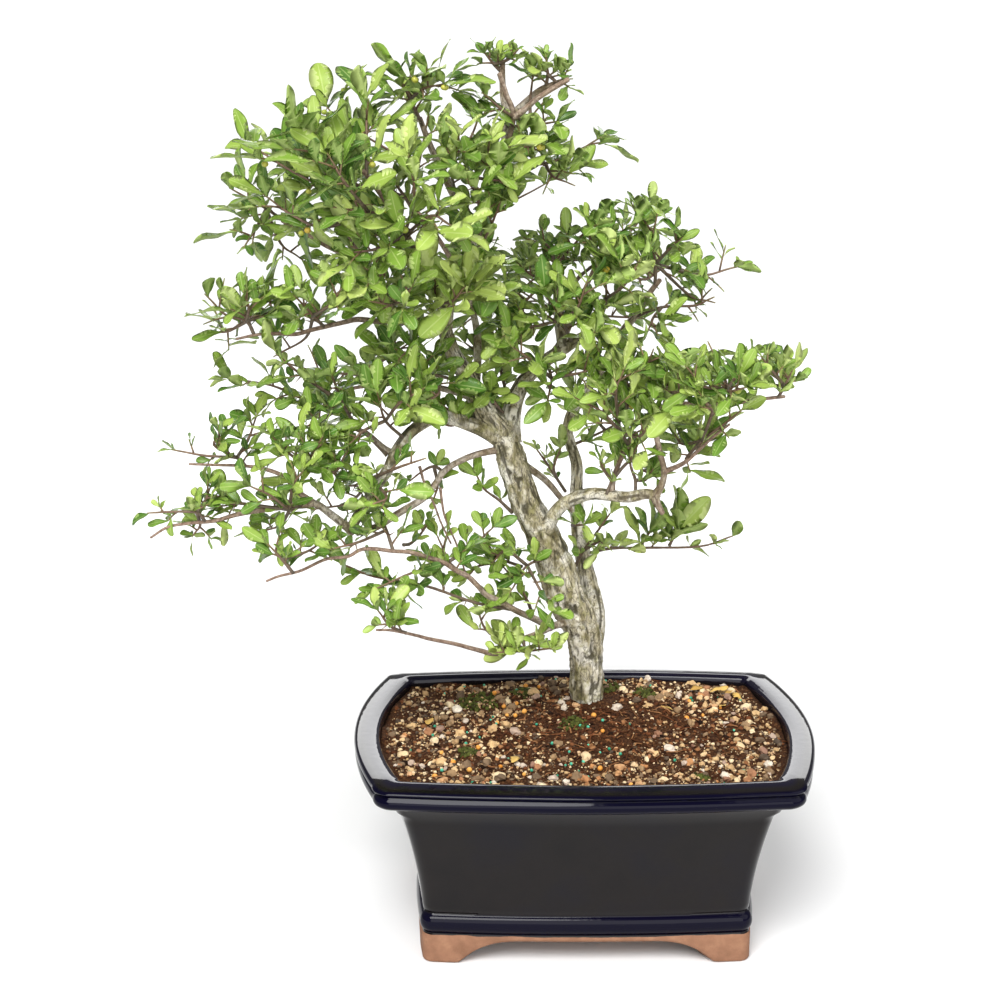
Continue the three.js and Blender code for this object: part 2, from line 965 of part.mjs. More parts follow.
// A lathe whose rings are pressed into such rectangles, one for each level from the bottom up the outside.
function pressed(levels, heightAt = (level) => level.z) {
  const lathe = new THREE.LatheGeometry(
    levels.map((level, i) => new THREE.Vector2(i + 1, i)),
    columns,
  );
  const position = lathe.getAttribute("position");
  for (let i = 0; i <= columns; i += 1)
    levels.forEach((level, j) => {
      const [x, y] = level.x ? outline(level, i % columns) : [0, 0];
      position.setXYZ(i * levels.length + j, x, y, heightAt(level, x, y));
    });
  return solidOf(lathe);
}

// The pot's wall between foot and rim leans out slowly, then faster.
function wallLevel(z, inset = 0) {
  const share = Math.max(0, (z - bandTo) / (104 - bandTo));
  const lean = share ** 1.5;
  return {
    x: mix(footX - 0.9, rimX - 14.5, lean) - inset,
    y: mix(footY - 0.9, rimY - 14.5, lean) - inset,
    bowX: mix(footBow, rimBowX - 2, lean),
    bowY: mix(footBow, rimBowY, lean),
    corner: Math.max(8 - inset / 2, 4),
    z,
  };
}

const ringLevel = (inset, z, corner) => ({
  x: rimX - inset,
  y: rimY - inset,
  bowX: rimBowX,
  bowY: rimBowY,
  corner,
  z,
});

const footLevel = (inset, z) => ({
  x: footX - inset,
  y: footY - inset,
  bowX: footBow,
  bowY: footBow,
  corner: 7,
  z,
});

// An arch through the foot: flat pads at both ends, an S-curve up to the apron, seen along the cut.
function archCut(half, length, turned) {
  const pad = half - footPad;
  const top = pad - archRun * (half / footX);
  const shape = new THREE.Shape();
  shape.moveTo(-pad, -1);
  shape.lineTo(-pad, 0);
  shape.bezierCurveTo(-pad + 6, 9, mix(-pad, -top, 0.45), floorUnder, -top, floorUnder);
  shape.lineTo(top, floorUnder);
  shape.bezierCurveTo(mix(pad, top, 0.45), floorUnder, pad - 6, 9, pad, 0);
  shape.lineTo(pad, -1);
  const geometry = new THREE.ExtrudeGeometry(shape, {
    depth: length,
    bevelEnabled: false,
    curveSegments: 5,
  });
  geometry.translate(0, 0, -length / 2);
  geometry.rotateX(Math.PI / 2);
  if (turned) geometry.rotateZ(Math.PI / 2);
  return solidOf(geometry);
}

function makePot() {
  const levels = [
    { x: 0, z: 0 },
    footLevel(0, 0),
    footLevel(0, 17.5),
    footLevel(1.2, bandFrom),
    footLevel(-1, mix(bandFrom, bandTo, 0.25)),
    footLevel(-1, mix(bandFrom, bandTo, 0.7)),
    wallLevel(bandTo),
    wallLevel(56),
    wallLevel(82),
    wallLevel(102),
    ringLevel(10, 106.5, 10),
    ringLevel(1.6, 109, 11),
    ringLevel(0.6, 112, 11),
    ringLevel(2.2, 115.5, 11),
    ringLevel(0, 119, 12),
    ringLevel(2.6, rimTop, 12),
    ringLevel(rimWidth - 2.5, rimTop, 9),
    ringLevel(rimWidth, rimTop - 2, 8),
    wallLevel(98, wallThick - 3),
    wallLevel(60, wallThick),
    wallLevel(34, wallThick),
    { ...footLevel(wallThick + 5, floorTop), corner: 5 },
    { x: 0, z: floorTop },
  ];
  let pot = pressed(levels);
  pot = pot.subtract(archCut(footX, 3 * footY, false));
  pot = pot.subtract(archCut(footY, 3 * footX, true));
  for (const x of [-drainX, drainX]) {
    const hole = new THREE.CylinderGeometry(drainRadius, drainRadius, 20, 16);
    hole.rotateX(Math.PI / 2);
    hole.translate(x, 0, (floorUnder + floorTop) / 2);
    pot = pot.subtract(solidOf(hole));
  }
  return tidied(pot);
}

// A square of plastic mesh that keeps the soil off a drain hole.
function makeScreen(x) {
  const z = floorTop + clearance + screenThick / 2;
  const block = (side, thick, middleX, middleY) => {
    const box = new THREE.BoxGeometry(side, side, thick);
    box.translate(middleX, middleY, z);
    return solidOf(box);
  };
  let screen = block(screenSize, screenThick, x, 0);
  const pitch = (screenSize - screenBar) / screenCells;
  for (let row = 0; row < screenCells; row += 1)
    for (let column = 0; column < screenCells; column += 1) {
      const [acrossX, acrossY] = [column, row].map((place) => (place - (screenCells - 1) / 2) * pitch);
      screen = screen.subtract(block(pitch - screenBar, 2 * screenThick, x + acrossX, acrossY));
    }
  return screen;
}

// The wood: trunk, second stem and limbs, one grown piece

// A tapered, closed tube bent along a smooth curve through the route.
function tube(route, radii, sides, steps, flute = 0) {
  const curve = new THREE.CatmullRomCurve3(route.map(vec), false, "catmullrom", 0.5);
  const shape = new THREE.CylinderGeometry(1, 1, 1, sides, steps);
  const position = shape.getAttribute("position");
  const rings = [];
  let across = new THREE.Vector3(0, 1, 0);
  for (let i = 0; i <= steps; i += 1) {
    const tangent = curve.getTangent(i / steps);
    const side = new THREE.Vector3().crossVectors(tangent, across).normalize();
    across = new THREE.Vector3().crossVectors(side, tangent).normalize();
    const reach = (i / steps) * (radii.length - 1);
    const first = Math.min(Math.floor(reach), radii.length - 2);
    const radius = mix(radii[first], radii[first + 1], reach - first);
    rings.push({ middle: curve.getPoint(i / steps), side, across: across.clone(), radius });
  }
  for (let i = 0; i < position.count; i += 1) {
    const [x, y, z] = [position.getX(i), position.getY(i), position.getZ(i)];
    const ring = rings[Math.round((y + 0.5) * steps)];
    const turn = Math.atan2(z, x);
    const ridge = 1 + flute * (Math.sin(3 * turn + (y + 0.5) * 5) + 0.6 * Math.sin(5 * turn - (y + 0.5) * 9));
    const point = ring.middle
      .clone()
      .addScaledVector(ring.side, x * ring.radius * ridge)
      .addScaledVector(ring.across, z * ring.radius * ridge);
    position.setXYZ(i, point.x, point.y, point.z);
  }
  return solidOf(shape);
}

// All the wood in one solid, with `grow` millimetres added all round for cutting its neighbours clear.
function makeWood(grow = 0) {
  const tubes = limbs.map(({ route, radii, sides = 4, flute = 0 }) =>
    tube(
      route,
      radii.map((radius) => radius + grow),
      sides,
      route.length - 1,
      flute,
    ),
  );
  return tidied(wasm.Manifold.union(tubes));
}

// The soil, with a few pebbles showing

const trunkFoot = limbs[0].route[1];

function soilHeight(x, y) {
  const away = ((x - trunkFoot[0]) ** 2 + (y - trunkFoot[1]) ** 2) / (2 * 46 ** 2);
  const bumps = 0.9 * Math.sin(x / 11) * Math.cos(y / 9) + 0.5 * Math.sin(x / 5 + y / 7);
  return soilEdge + soilMound * Math.exp(-away) + bumps;
}

function makeSoil(wood) {
  const wall = (z) => wallLevel(z, wallThick + 2 * clearance);
  const edge = wall(98);
  const shrunk = (share) => ({
    ...edge,
    x: edge.x * share,
    y: edge.y * share,
    bowX: edge.bowX * share,
    bowY: edge.bowY * share,
  });
  const levels = [
    { x: 0, z: floorTop + clearance },
    { ...footLevel(wallThick + 5 + clearance, floorTop + clearance), corner: 5 },
    wall(34),
    wall(60),
    edge,
    ...[1, 0.86, 0.68, 0.48, 0.26].map(shrunk).map((level) => ({ ...level, z: null })),
    { x: 0, z: null },
  ];
  const heap = [pressed(levels, (level, x, y) => level.z ?? soilHeight(x, y))];
  for (let i = 0; i < pebbleCount; i += 1) {
    const x = mix(-edge.x, edge.x, draw(i, 1)) * 0.87;
    const y = mix(-edge.y, edge.y, draw(i, 2)) * 0.85;
    const pebble = new THREE.OctahedronGeometry(mix(3.2, 5.5, draw(i, 3)));
    pebble.scale(1, mix(0.7, 1, draw(i, 4)), 0.62);
    pebble.rotateX(draw(i, 5));
    pebble.rotateZ(draw(i, 6) * 6);
    pebble.translate(x, y, soilHeight(x, y) + 0.4);
    heap.push(solidOf(pebble));
  }
  let soil = wasm.Manifold.union(heap).subtract(wood);
  for (const x of [-drainX, drainX]) {
    const side = screenSize + 2 * clearance;
    const pocket = new THREE.BoxGeometry(side, side, 2 * (screenThick + 2 * clearance));
    pocket.translate(x, 0, floorTop + clearance);
    soil = soil.subtract(solidOf(pocket));
  }
  return tidied(largest(soil));
}

// The foliage: each spray is a leafy stem with forks, short side shoots and leaves, grown as one body

const largest = (shape) => shape.decompose().sort((a, b) => b.volume() - a.volume())[0];

// A ring of three corners runs anticlockwise as seen from the tip. Two such rings are joined by six faces.
const ringEdges = [[0, 1], [1, 2], [2, 0]];
const bridge = (from, to) =>
  ringEdges.flatMap(([a, b]) => [[from[a], from[b], to[a]], [from[b], to[b], to[a]]]);

// Corners of a leaf's keeled blade: narrow at its foot, broad past its middle, blunt at its end, arched down.
function leafCorners({ base, along, normal, length }) {
  const side = new THREE.Vector3().crossVectors(normal, along);
  const at = (share, wide, deep) =>
    base
      .clone()
      .addScaledVector(along, length * share)
      .addScaledVector(side, wide)
      .addScaledVector(normal, -deep - leafDroop * length * share * share)
      .toArray();
  const half = (leafBreadth * length) / 2;
  const ring = (share, wide) => [at(share, wide, 0), at(share, -wide, 0), at(share, 0, leafThick)];
  return {
    neck: ring(0.25, half * 0.35),
    broad: ring(0.64, half),
    end: [at(1, half * 0.42, leafThick / 3), at(1, -half * 0.42, leafThick / 3)],
  };
}

// The five faces from a leaf's broad ring to the edge at its end.
const leafEnd = ([a, b, c], [left, right]) =>
  [[a, b, right], [a, right, left], [b, c, right], [c, left, right], [c, a, left]];

// The leaf from its neck on as a body of its own, for finding what it would touch.
function bladeOf(leaf) {
  const { neck, broad, end } = leafCorners(leaf);
  const faces = [[0, 2, 1], ...bridge([0, 1, 2], [3, 4, 5]), ...leafEnd([3, 4, 5], [6, 7])];
  return solid([...neck, ...broad, ...end], faces);
}

// A three-sided twig through the route: its corners, its faces, and those that leaves can grow from.
function twigOf({ route, radii }) {
  const curve = new THREE.CatmullRomCurve3(route.map(vec), false, "catmullrom", 0.5);
  const steps = route.length - 1;
  const points = [];
  const faces = [];
  let before = null;
  let across = new THREE.Vector3(0, 1, 0);
  for (let i = 0; i <= steps; i += 1) {
    const tangent = curve.getTangent(i / steps);
    const side = new THREE.Vector3().crossVectors(across, tangent).normalize();
    across = new THREE.Vector3().crossVectors(tangent, side);
    const radius = mix(radii[0], radii[1], i / steps);
    const ring = [0, 1, 2].map((corner) => {
      const turn = (corner * 2 * Math.PI) / 3;
      const point = curve.getPoint(i / steps);
      point.addScaledVector(side, radius * Math.cos(turn)).addScaledVector(across, radius * Math.sin(turn));
      return points.push(point.toArray()) - 1;
    });
    faces.push(...(before ? bridge(before, ring) : [[ring[0], ring[2], ring[1]]]));
    before = ring;
  }
  faces.push(before);
  return { points, faces, sites: faces.slice(-7) };
}

// Where a leaf grows on a twig: the free face that looks its way, turned to meet the leaf with least twist.
function sproutOf({ points, sites }, leaf) {
  const facing = (site) => {
    const [p, q, r] = site.map((corner) => vec(points[corner]));
    return new THREE.Triangle(p, q, r).getNormal(new THREE.Vector3()).dot(leaf.along);
  };
  const site = sites.reduce((best, other) => (facing(other) > facing(best) ? other : best));
  const { broad, end } = leafCorners(leaf);
  const stretch = (turned) =>
    turned.reduce((sum, corner, i) => sum + vec(points[corner]).distanceTo(vec(broad[i])), 0);
  const turns = [site, [site[1], site[2], site[0]], [site[2], site[0], site[1]]];
  const foot = turns.reduce((best, other) => (stretch(other) < stretch(best) ? other : best));
  return { site, foot, broad, end };
}

// A leaf by itself, closed across its foot.
function sproutAlone({ points }, { foot, broad, end }) {
  const faces = [[0, 2, 1], ...bridge([0, 1, 2], [3, 4, 5]), ...leafEnd([3, 4, 5], [6, 7])];
  return solid([...foot.map((corner) => points[corner]), ...broad, ...end], faces);
}

// The twig with the leaf grown out of its face.
function withSprout({ points, faces, sites }, { site, foot, broad, end }) {
  const [a, b, c, left, right] = [0, 1, 2, 3, 4].map((i) => points.length + i);
  const grown = [...bridge(foot, [a, b, c]), ...leafEnd([a, b, c], [left, right])];
  const others = (list) => list.filter((face) => face !== site);
  return { points: [...points, ...broad, ...end], faces: [...others(faces), ...grown], sites: others(sites) };
}

// The leaves of one shoot, turned round it by the golden angle, the outer ones lying closer to its line.
function leavesOf(foot, direction, length, leafLength, seed) {
  const count = 4 + Math.floor(draw(seed, 57) * 3);
  const side = new THREE.Vector3().crossVectors(direction, new THREE.Vector3(0.3, 0.2, 1)).normalize();
  const lift = new THREE.Vector3().crossVectors(side, direction);
  const leaves = [];
  for (let j = 0; j < count; j += 1) {
    const share = (j + 1) / count;
    const turn = j * goldenAngle + draw(seed, j) * 0.8;
    const slant = THREE.MathUtils.degToRad(75 - 45 * share + 20 * (draw(seed, j + 11) - 0.5));
    const base = foot.clone().addScaledVector(direction, length * (0.3 + 0.7 * share));
    const along = direction
      .clone()
      .multiplyScalar(Math.cos(slant))
      .addScaledVector(side, Math.sin(slant) * Math.cos(turn))
      .addScaledVector(lift, Math.sin(slant) * Math.sin(turn))
      .normalize();
    const outward = base.clone().sub(crownCentre).multiply(new THREE.Vector3(1, 1, 0.3)).normalize();
    const normal = vec([21, 22, 23].map((row) => draw(seed, j + row) - 0.5))
      .multiplyScalar(1.1)
      .addScaledVector(outward, 0.65)
      .addScaledVector(up, 0.8);
    normal.addScaledVector(along, -normal.dot(along)).normalize();
    const small = j < 2 ? 0.75 : 1;
    leaves.push({ base, along, normal, length: leafLength * small * (0.62 + 0.62 * draw(seed, j + 41)) });
  }
  return leaves;
}

// A stem or fork: its route, the leaves at its end, and its side shoots with theirs.
function growArm(route, spray, number) {
  const curve = new THREE.CatmullRomCurve3(route.map(vec), false, "catmullrom", 0.5);
  const end = curve.getPoint(1);
  const onward = curve.getTangent(1);
  const endLength = spray.reach * 0.35;
  const shoots = [];
  for (let k = 0; k < spray.shoots; k += 1) {
    const place = ((k + 0.6) / spray.shoots) * 0.9;
    const foot = curve.getPoint(place);
    const tangent = curve.getTangent(place);
    const side = new THREE.Vector3().crossVectors(tangent, up).normalize();
    const lift = new THREE.Vector3().crossVectors(side, tangent);
    const turn = k * goldenAngle + draw(number, k) * 0.7;
    const direction = side
      .multiplyScalar(Math.cos(turn) * 0.72)
      .addScaledVector(lift, Math.sin(turn) * 0.72)
      .addScaledVector(tangent, 0.45)
      .addScaledVector(up, 0.08)
      .normalize();
    const length = spray.reach * (0.35 + 0.75 * draw(number, k + 31));
    const out = (share) => foot.clone().addScaledVector(direction, length * share).toArray();
    const step = Math.floor(place * (route.length - 1));
    const root = vec(route[step]).lerp(vec(route[step + 1]), place * (route.length - 1) - step);
    shoots.push({
      route: [root.toArray(), out(0.65), out(1)],
      radii: [shootRadius, twigTip],
      leaves: leavesOf(foot, direction, length, spray.leaf, number * 7 + k),
    });
  }
  const tip = end.clone().addScaledVector(onward, endLength);
  return {
    route: [...route, tip.toArray()],
    radii: [twigRadius, twigTip],
    leaves: leavesOf(end, onward, endLength, spray.leaf, number * 7 + spray.shoots),
    shoots,
  };
}

// Whether two boxes come within `gap` of each other.
const boxesNear = (a, b, gap) =>
  [0, 1, 2].every((i) => a.min[i] - gap < b.max[i] && b.min[i] - gap < a.max[i]);

// Each spray with as many leaves as its limits allow, none touching another piece or each other.
function makeSprays(others) {
  const placed = others.map((shape) => ({ shape, owner: "others", box: shape.boundingBox() }));
  const place = (shape, owner) => placed.push({ shape, owner, box: shape.boundingBox() });
  const isClear = (shape, counts) => {
    const box = shape.boundingBox();
    const near = placed.filter((item) => counts(item) && boxesNear(item.box, box, leafGap));
    return near.every((item) => shape.minGap(item.shape, leafGap) >= leafGap);
  };
  const closed = ({ points, faces }) => solid(points, faces);
  let number = 0;
  const grown = sprays.map((spray) => {
    const routes = [spray.stem, ...spray.forks.map((fork) => [spray.stem[1], ...fork])];
    const arms = routes.map((route) => growArm(route, spray, (number += 1)));
    arms.forEach((arm) => place(closed(twigOf(arm)), spray.name));
    return { name: spray.name, arms };
  });
  return grown.map(({ name, arms }) => {
    const isOwn = (item) => item.owner === name;
    const isOther = (item) => item.owner !== name;
    const middles = [];
    const inLeaf = (arm, most) => {
      let twig = twigOf(arm);
      let count = 0;
      for (const leaf of [...arm.leaves].sort((a, b) => b.length - a.length)) {
        const middle = leaf.base.clone().addScaledVector(leaf.along, leaf.length * 0.6);
        if (count >= most || middles.some((other) => other.distanceTo(middle) < leafSpacing)) continue;
        const sprout = sproutOf(twig, leaf);
        const alone = sproutAlone(twig, sprout);
        if (!isClear(bladeOf(leaf), isOwn) || !isClear(alone, isOther)) continue;
        twig = withSprout(twig, sprout);
        count += 1;
        middles.push(middle);
        place(alone, name);
      }
      return { twig, count };
    };
    const parts = arms.map((arm) => closed(inLeaf(arm, leavesPerTip).twig));
    const shoots = arms.filter((_, i) => i % shootEvery === 0).map((arm) => arm.shoots[shootKept]);
    for (const shoot of shoots) {
      if (!isClear(closed(twigOf(shoot)), isOther)) continue;
      const { twig, count } = inLeaf(shoot, leavesPerShoot);
      if (!count) continue;
      parts.push(closed(twig));
      place(closed(twigOf(shoot)), name);
    }
    return [name, largest(tidied(wasm.Manifold.union(parts).subtract(cutter)))];
  });
}

// Colours and finishes

const material = (color, roughness) => new THREE.MeshStandardMaterial({ color, roughness, metalness: 0 });
const glazed = material("#26252c", 0.25);
const bark = material("#8f8672", 0.85);
const earth = material("#6b4a35", 0.95);
const plastic = material("#2c2f2c", 0.6);
const foliage = material("#7a9a3c", 0.5);

const wood = makeWood();
const cutter = makeWood(clearance);
const pot = makePot();
const screens = [-drainX, drainX].map(makeScreen);
const soil = makeSoil(cutter);

const bonsai = new THREE.Group();
bonsai.add(meshOf("pot", pot, glazed));
bonsai.add(meshOf("drain_screen_left", screens[0], plastic));
bonsai.add(meshOf("drain_screen_right", screens[1], plastic));
bonsai.add(meshOf("soil", soil, earth));
bonsai.add(meshOf("trunk", wood, bark));
for (const [name, shape] of makeSprays([wood, pot, soil])) bonsai.add(meshOf(name, shape, foliage));

const box = new THREE.Box3().setFromObject(bonsai, true);
const middle = box.getCenter(new THREE.Vector3());
bonsai.position.set(-middle.x, -middle.y, -box.min.z);

export default bonsai;
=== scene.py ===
# A firethorn bonsai in a glazed, footed pot. Its limbs and sprays follow the routes of the solid model, and a
# few thin limbs and twigs are added. Lengths are in millimetres from the middle of the pot's foot, X right,
# Y back, Z up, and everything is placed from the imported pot's own box.
import math
import bpy
import mathutils
import numpy as np
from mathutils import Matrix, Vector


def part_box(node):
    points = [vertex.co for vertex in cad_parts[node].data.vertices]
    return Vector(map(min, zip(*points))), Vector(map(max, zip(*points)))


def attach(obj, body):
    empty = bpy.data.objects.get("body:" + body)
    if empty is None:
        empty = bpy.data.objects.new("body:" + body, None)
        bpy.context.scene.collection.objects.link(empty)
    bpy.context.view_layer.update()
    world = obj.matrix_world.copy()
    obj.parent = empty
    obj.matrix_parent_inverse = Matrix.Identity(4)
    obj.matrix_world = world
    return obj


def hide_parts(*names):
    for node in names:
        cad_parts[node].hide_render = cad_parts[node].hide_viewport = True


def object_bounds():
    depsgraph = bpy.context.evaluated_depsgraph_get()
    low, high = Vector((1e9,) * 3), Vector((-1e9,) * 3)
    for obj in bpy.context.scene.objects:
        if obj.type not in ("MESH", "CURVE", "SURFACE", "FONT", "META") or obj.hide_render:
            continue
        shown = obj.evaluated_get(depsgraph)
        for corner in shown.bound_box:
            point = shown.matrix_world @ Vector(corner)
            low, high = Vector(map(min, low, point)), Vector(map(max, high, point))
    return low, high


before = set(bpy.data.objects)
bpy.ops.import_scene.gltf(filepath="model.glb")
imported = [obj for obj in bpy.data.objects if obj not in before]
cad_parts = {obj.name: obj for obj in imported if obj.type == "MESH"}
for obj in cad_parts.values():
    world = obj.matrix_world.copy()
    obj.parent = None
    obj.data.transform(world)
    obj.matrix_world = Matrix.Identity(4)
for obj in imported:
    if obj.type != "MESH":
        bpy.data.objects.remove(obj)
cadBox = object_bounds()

potLow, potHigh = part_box("pot")
potMiddle = np.array([(potLow[0] + potHigh[0]) / 2, (potLow[1] + potHigh[1]) / 2, potLow[2]])
mm = 0.001
fullTurn = 6.28  # a random heading runs over this many radians
goldenAngle = 2.39996
photoEye = np.array([-57.0, -1200.0, 595.0])  # where the photograph was taken from


# Small helpers

def draw(a, b):
    # a fixed value between 0 and 1 for each pair of numbers
    value = np.sin(a * 12.9898 + b * 78.233) * 43758.5453
    return value - np.floor(value)


def unit(vectors):
    return vectors / np.maximum(np.linalg.norm(vectors, axis=-1, keepdims=True), 1e-12)


def smoothstep(low, high, value):
    share = np.clip((value - low) / (high - low), 0, 1)
    return share * share * (3 - 2 * share)


def catmull(points, places):
    # uniform Catmull-Rom curve through the points; place 0 is the first point and 1 the last
    points = np.asarray(points, float)
    held = np.vstack([2 * points[0] - points[1], points, 2 * points[-1] - points[-2]])
    reach = np.clip(np.asarray(places, float), 0, 1) * (len(points) - 1)
    first = np.minimum(reach.astype(int), len(points) - 2)
    t = (reach - first)[:, None]
    p0, p1, p2, p3 = held[first], held[first + 1], held[first + 2], held[first + 3]
    b, c, d = p2 - p0, 2 * p0 - 5 * p1 + 4 * p2 - p3, 3 * p1 - p0 - 3 * p2 + p3
    place = p1 + 0.5 * (b * t + c * t**2 + d * t**3)
    tangent = unit(0.5 * (b + 2 * c * t + 3 * d * t**2))
    return place, tangent


def noise(points, size, seed=0):
    # smooth random values between 0 and 1: a lattice of draws, `size` apart, blended between its corners
    place = np.asarray(points, float) / size
    cell = np.floor(place)
    t = place - cell
    t = t * t * (3 - 2 * t)
    total = 0
    for corner in np.ndindex(2, 2, 2):
        at = cell + corner
        key = at[..., 0] * 127.1 + at[..., 1] * 311.7 + at[..., 2] * 74.7 + seed * 19.19
        value = np.sin(key) * 43758.5453
        weight = np.prod(np.where(np.array(corner) == 1, t, 1 - t), axis=-1)
        total = total + (value - np.floor(value)) * weight
    return total


def levelNoise(x, y, size, seed):
    # the same noise over a level plane
    return noise(np.stack([x, y, np.zeros_like(x)], axis=-1), size, seed)


def frames(tangents):
    # two directions across the curve at each point, carried along without twist
    across = np.array([0.0, 1.0, 0.0])
    sides, others = [], []
    for tangent in tangents:
        side = unit(np.cross(tangent, across))
        across = np.cross(side, tangent)
        sides.append(side)
        others.append(across)
    return np.array(sides), np.array(others)


def gridFaces(rows, columns, wrap=True):
    # quads of a grid of points, rows by columns, closed round the columns when wrap is true
    row, column = np.meshgrid(np.arange(rows - 1), np.arange(columns if wrap else columns - 1), indexing="ij")
    after = (column + 1) % columns
    quads = np.stack([row * columns + column, row * columns + after,
                      (row + 1) * columns + after, (row + 1) * columns + column], axis=-1)
    return quads.reshape(-1, 4)


class Shape:
    # points, faces, and named values per point, gathered before they become one mesh
    def __init__(self):
        self.points, self.loops, self.sizes, self.slots, self.values = [], [], [], [], {}
        self.count = 0

    def add(self, points, faces, slot=0, **values):
        # points with faces between them and a named value for each; gives the number of the first point
        first = self.count
        self.points.append(np.asarray(points, float).reshape(-1, 3))
        number = len(self.points[-1])
        self.count += number
        for name, value in values.items():
            self.values.setdefault(name, []).append((first, np.broadcast_to(value, (number,))))
        self.addFaces(faces, first, slot)
        return first

    def addFaces(self, faces, first, slot=0):
        # more faces, all with equally many corners, between points counted from the first
        faces = np.asarray(faces)
        self.loops.append((faces + first).ravel())
        self.sizes.append(np.full(len(faces), faces.shape[1]))
        self.slots.append(np.full(len(faces), slot))

    def addSection(self, rows, **values):
        # closed rings of points, one above another, as a skin whose first and last rings are faces too
        count, columns = rows.shape[:2]
        first = self.add(rows, gridFaces(count, columns), **values)
        ring = np.arange(columns)
        self.addFaces([ring[::-1], (count - 1) * columns + ring], first)

    def make(self, name, materials, standsFor=(), angle=None):
        # one object at the origin, in metres, riding on the pot, with its place in its mesh
        points = np.vstack(self.points) * mm + potMiddle
        loops, sizes = np.concatenate(self.loops), np.concatenate(self.sizes)
        mesh = bpy.data.meshes.new(name)
        mesh.vertices.add(len(points))
        mesh.vertices.foreach_set("co", points.astype(np.float32).ravel())
        mesh.loops.add(len(loops))
        mesh.loops.foreach_set("vertex_index", loops.astype(np.int32))
        mesh.polygons.add(len(sizes))
        starts = np.concatenate([[0], np.cumsum(sizes)[:-1]])
        mesh.polygons.foreach_set("loop_start", starts.astype(np.int32))
        mesh.polygons.foreach_set("material_index", np.concatenate(self.slots).astype(np.int32))
        mesh.update(calc_edges=True)
        mesh.validate()
        for title, parts in self.values.items():
            whole = np.zeros(len(points), np.float32)
            for first, value in parts:
                whole[first : first + len(value)] = value
            attribute = mesh.attributes.new(title, "FLOAT", "POINT")
            attribute.data.foreach_set("value", whole)
        mesh.polygons.foreach_set("use_smooth", np.ones(len(mesh.polygons), bool))
        if angle:
            mesh.set_sharp_from_angle(angle=math.radians(angle))
        for material in materials:
            mesh.materials.append(material)
        piece = bpy.data.objects.new(name, mesh)
        bpy.context.scene.collection.objects.link(piece)
        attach(piece, "root")
        if standsFor:
            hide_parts(*standsFor)


def tube(shape, places, radii, sides, **values):
    # circles of the given radii carried along the places, with both ends closed by a point
    places = np.asarray(places, float)
    steps = np.gradient(places, axis=0)
    side, other = frames(unit(steps))
    turn = np.arange(sides) / sides * 2 * np.pi
    radii = np.asarray(radii, float)
    if radii.ndim == 1:
        radii = np.repeat(radii[:, None], sides, axis=1)
    # side x other points backwards along the curve, so the turn runs the other way round
    ring = (places[:, None] + side[:, None] * (radii * np.cos(turn))[..., None]
            - other[:, None] * (radii * np.sin(turn))[..., None])
    tip = places[-1:] + unit(steps[-1:]) * radii[-1].mean() * 0.6
    points = np.vstack([ring.reshape(-1, 3), places[:1], tip])
    rows = len(places)
    column = np.arange(sides)
    after = (column + 1) % sides
    foot, end = np.full(sides, rows * sides), np.full(sides, rows * sides + 1)
    top = (rows - 1) * sides
    spread = {}
    for name, value in values.items():
        # a value for each place, or for each point of each circle; the end points take their circle's mean
        value = np.asarray(value, float)
        if value.ndim == 1:
            value = np.repeat(value[:, None], sides, axis=1)
        spread[name] = np.concatenate([value.ravel(), [value[0].mean(), value[-1].mean()]])
    first = shape.add(points, gridFaces(rows, sides), **spread)
    shape.addFaces(np.stack([after, column, foot], axis=1), first)
    shape.addFaces(np.stack([top + column, top + after, end], axis=1), first)


# Colours and shader nodes

def linear(hexColour):
    # sRGB hex to linear red, green, blue and alpha
    parts = [int(hexColour[i : i + 2], 16) / 255 for i in (1, 3, 5)]
    return [p / 12.92 if p <= 0.04045 else ((p + 0.055) / 1.055) ** 2.4 for p in parts] + [1.0]


def addNode(tree, kind, links=None, **settings):
    # a shader node with its settings, and its inputs set to values or joined to other nodes' outputs
    node = tree.nodes.new(kind)
    for name, value in settings.items():
        setattr(node, name, value)
    for name, value in (links or {}).items():
        if isinstance(value, bpy.types.NodeSocket):
            tree.links.new(value, node.inputs[name])
        else:
            node.inputs[name].default_value = value
    return node


def ramp(tree, factor, stops):
    # a colour ramp with (place, hex colour) stops
    node = addNode(tree, "ShaderNodeValToRGB", {"Fac": factor})
    elements = node.color_ramp.elements
    while len(elements) < len(stops):
        elements.new(0.5)
    for element, (place, colour) in zip(elements, stops):
        element.position = place
        element.color = linear(colour)
    return node.outputs["Color"]


def blend(tree, factor, first, second, mode="MIX"):
    # two colours mixed by a factor; the numbers are those of the mix node's colour sockets
    node = addNode(tree, "ShaderNodeMix", {0: factor, 6: first, 7: second}, data_type="RGBA", blend_type=mode)
    return node.outputs[2]


def sums(tree, kind, first, second=0.0, clamp=False):
    # one step of arithmetic on values
    return addNode(tree, "ShaderNodeMath", {0: first, 1: second}, operation=kind, use_clamp=clamp).outputs[0]


def times(tree, first, second):
    return sums(tree, "MULTIPLY", first, second)


def grain(tree, place, sizeMm, detail=3.0, rough=0.55, stretch=None):
    # noise whose lumps are about sizeMm across
    if stretch:
        place = addNode(tree, "ShaderNodeMapping", {"Vector": place, "Scale": stretch}).outputs[0]
    inputs = {"Vector": place, "Scale": 1000 / sizeMm, "Detail": detail, "Roughness": rough}
    return addNode(tree, "ShaderNodeTexNoise", inputs).outputs["Fac"]


def newMaterial(name):
    # a material, its tree, its Principled shader and its object coordinates
    material = bpy.data.materials.new(name)
    material.use_nodes = True
    tree = material.node_tree
    shader = tree.nodes["Principled BSDF"]
    place = addNode(tree, "ShaderNodeTexCoord").outputs["Object"]
    return material, tree, shader, place


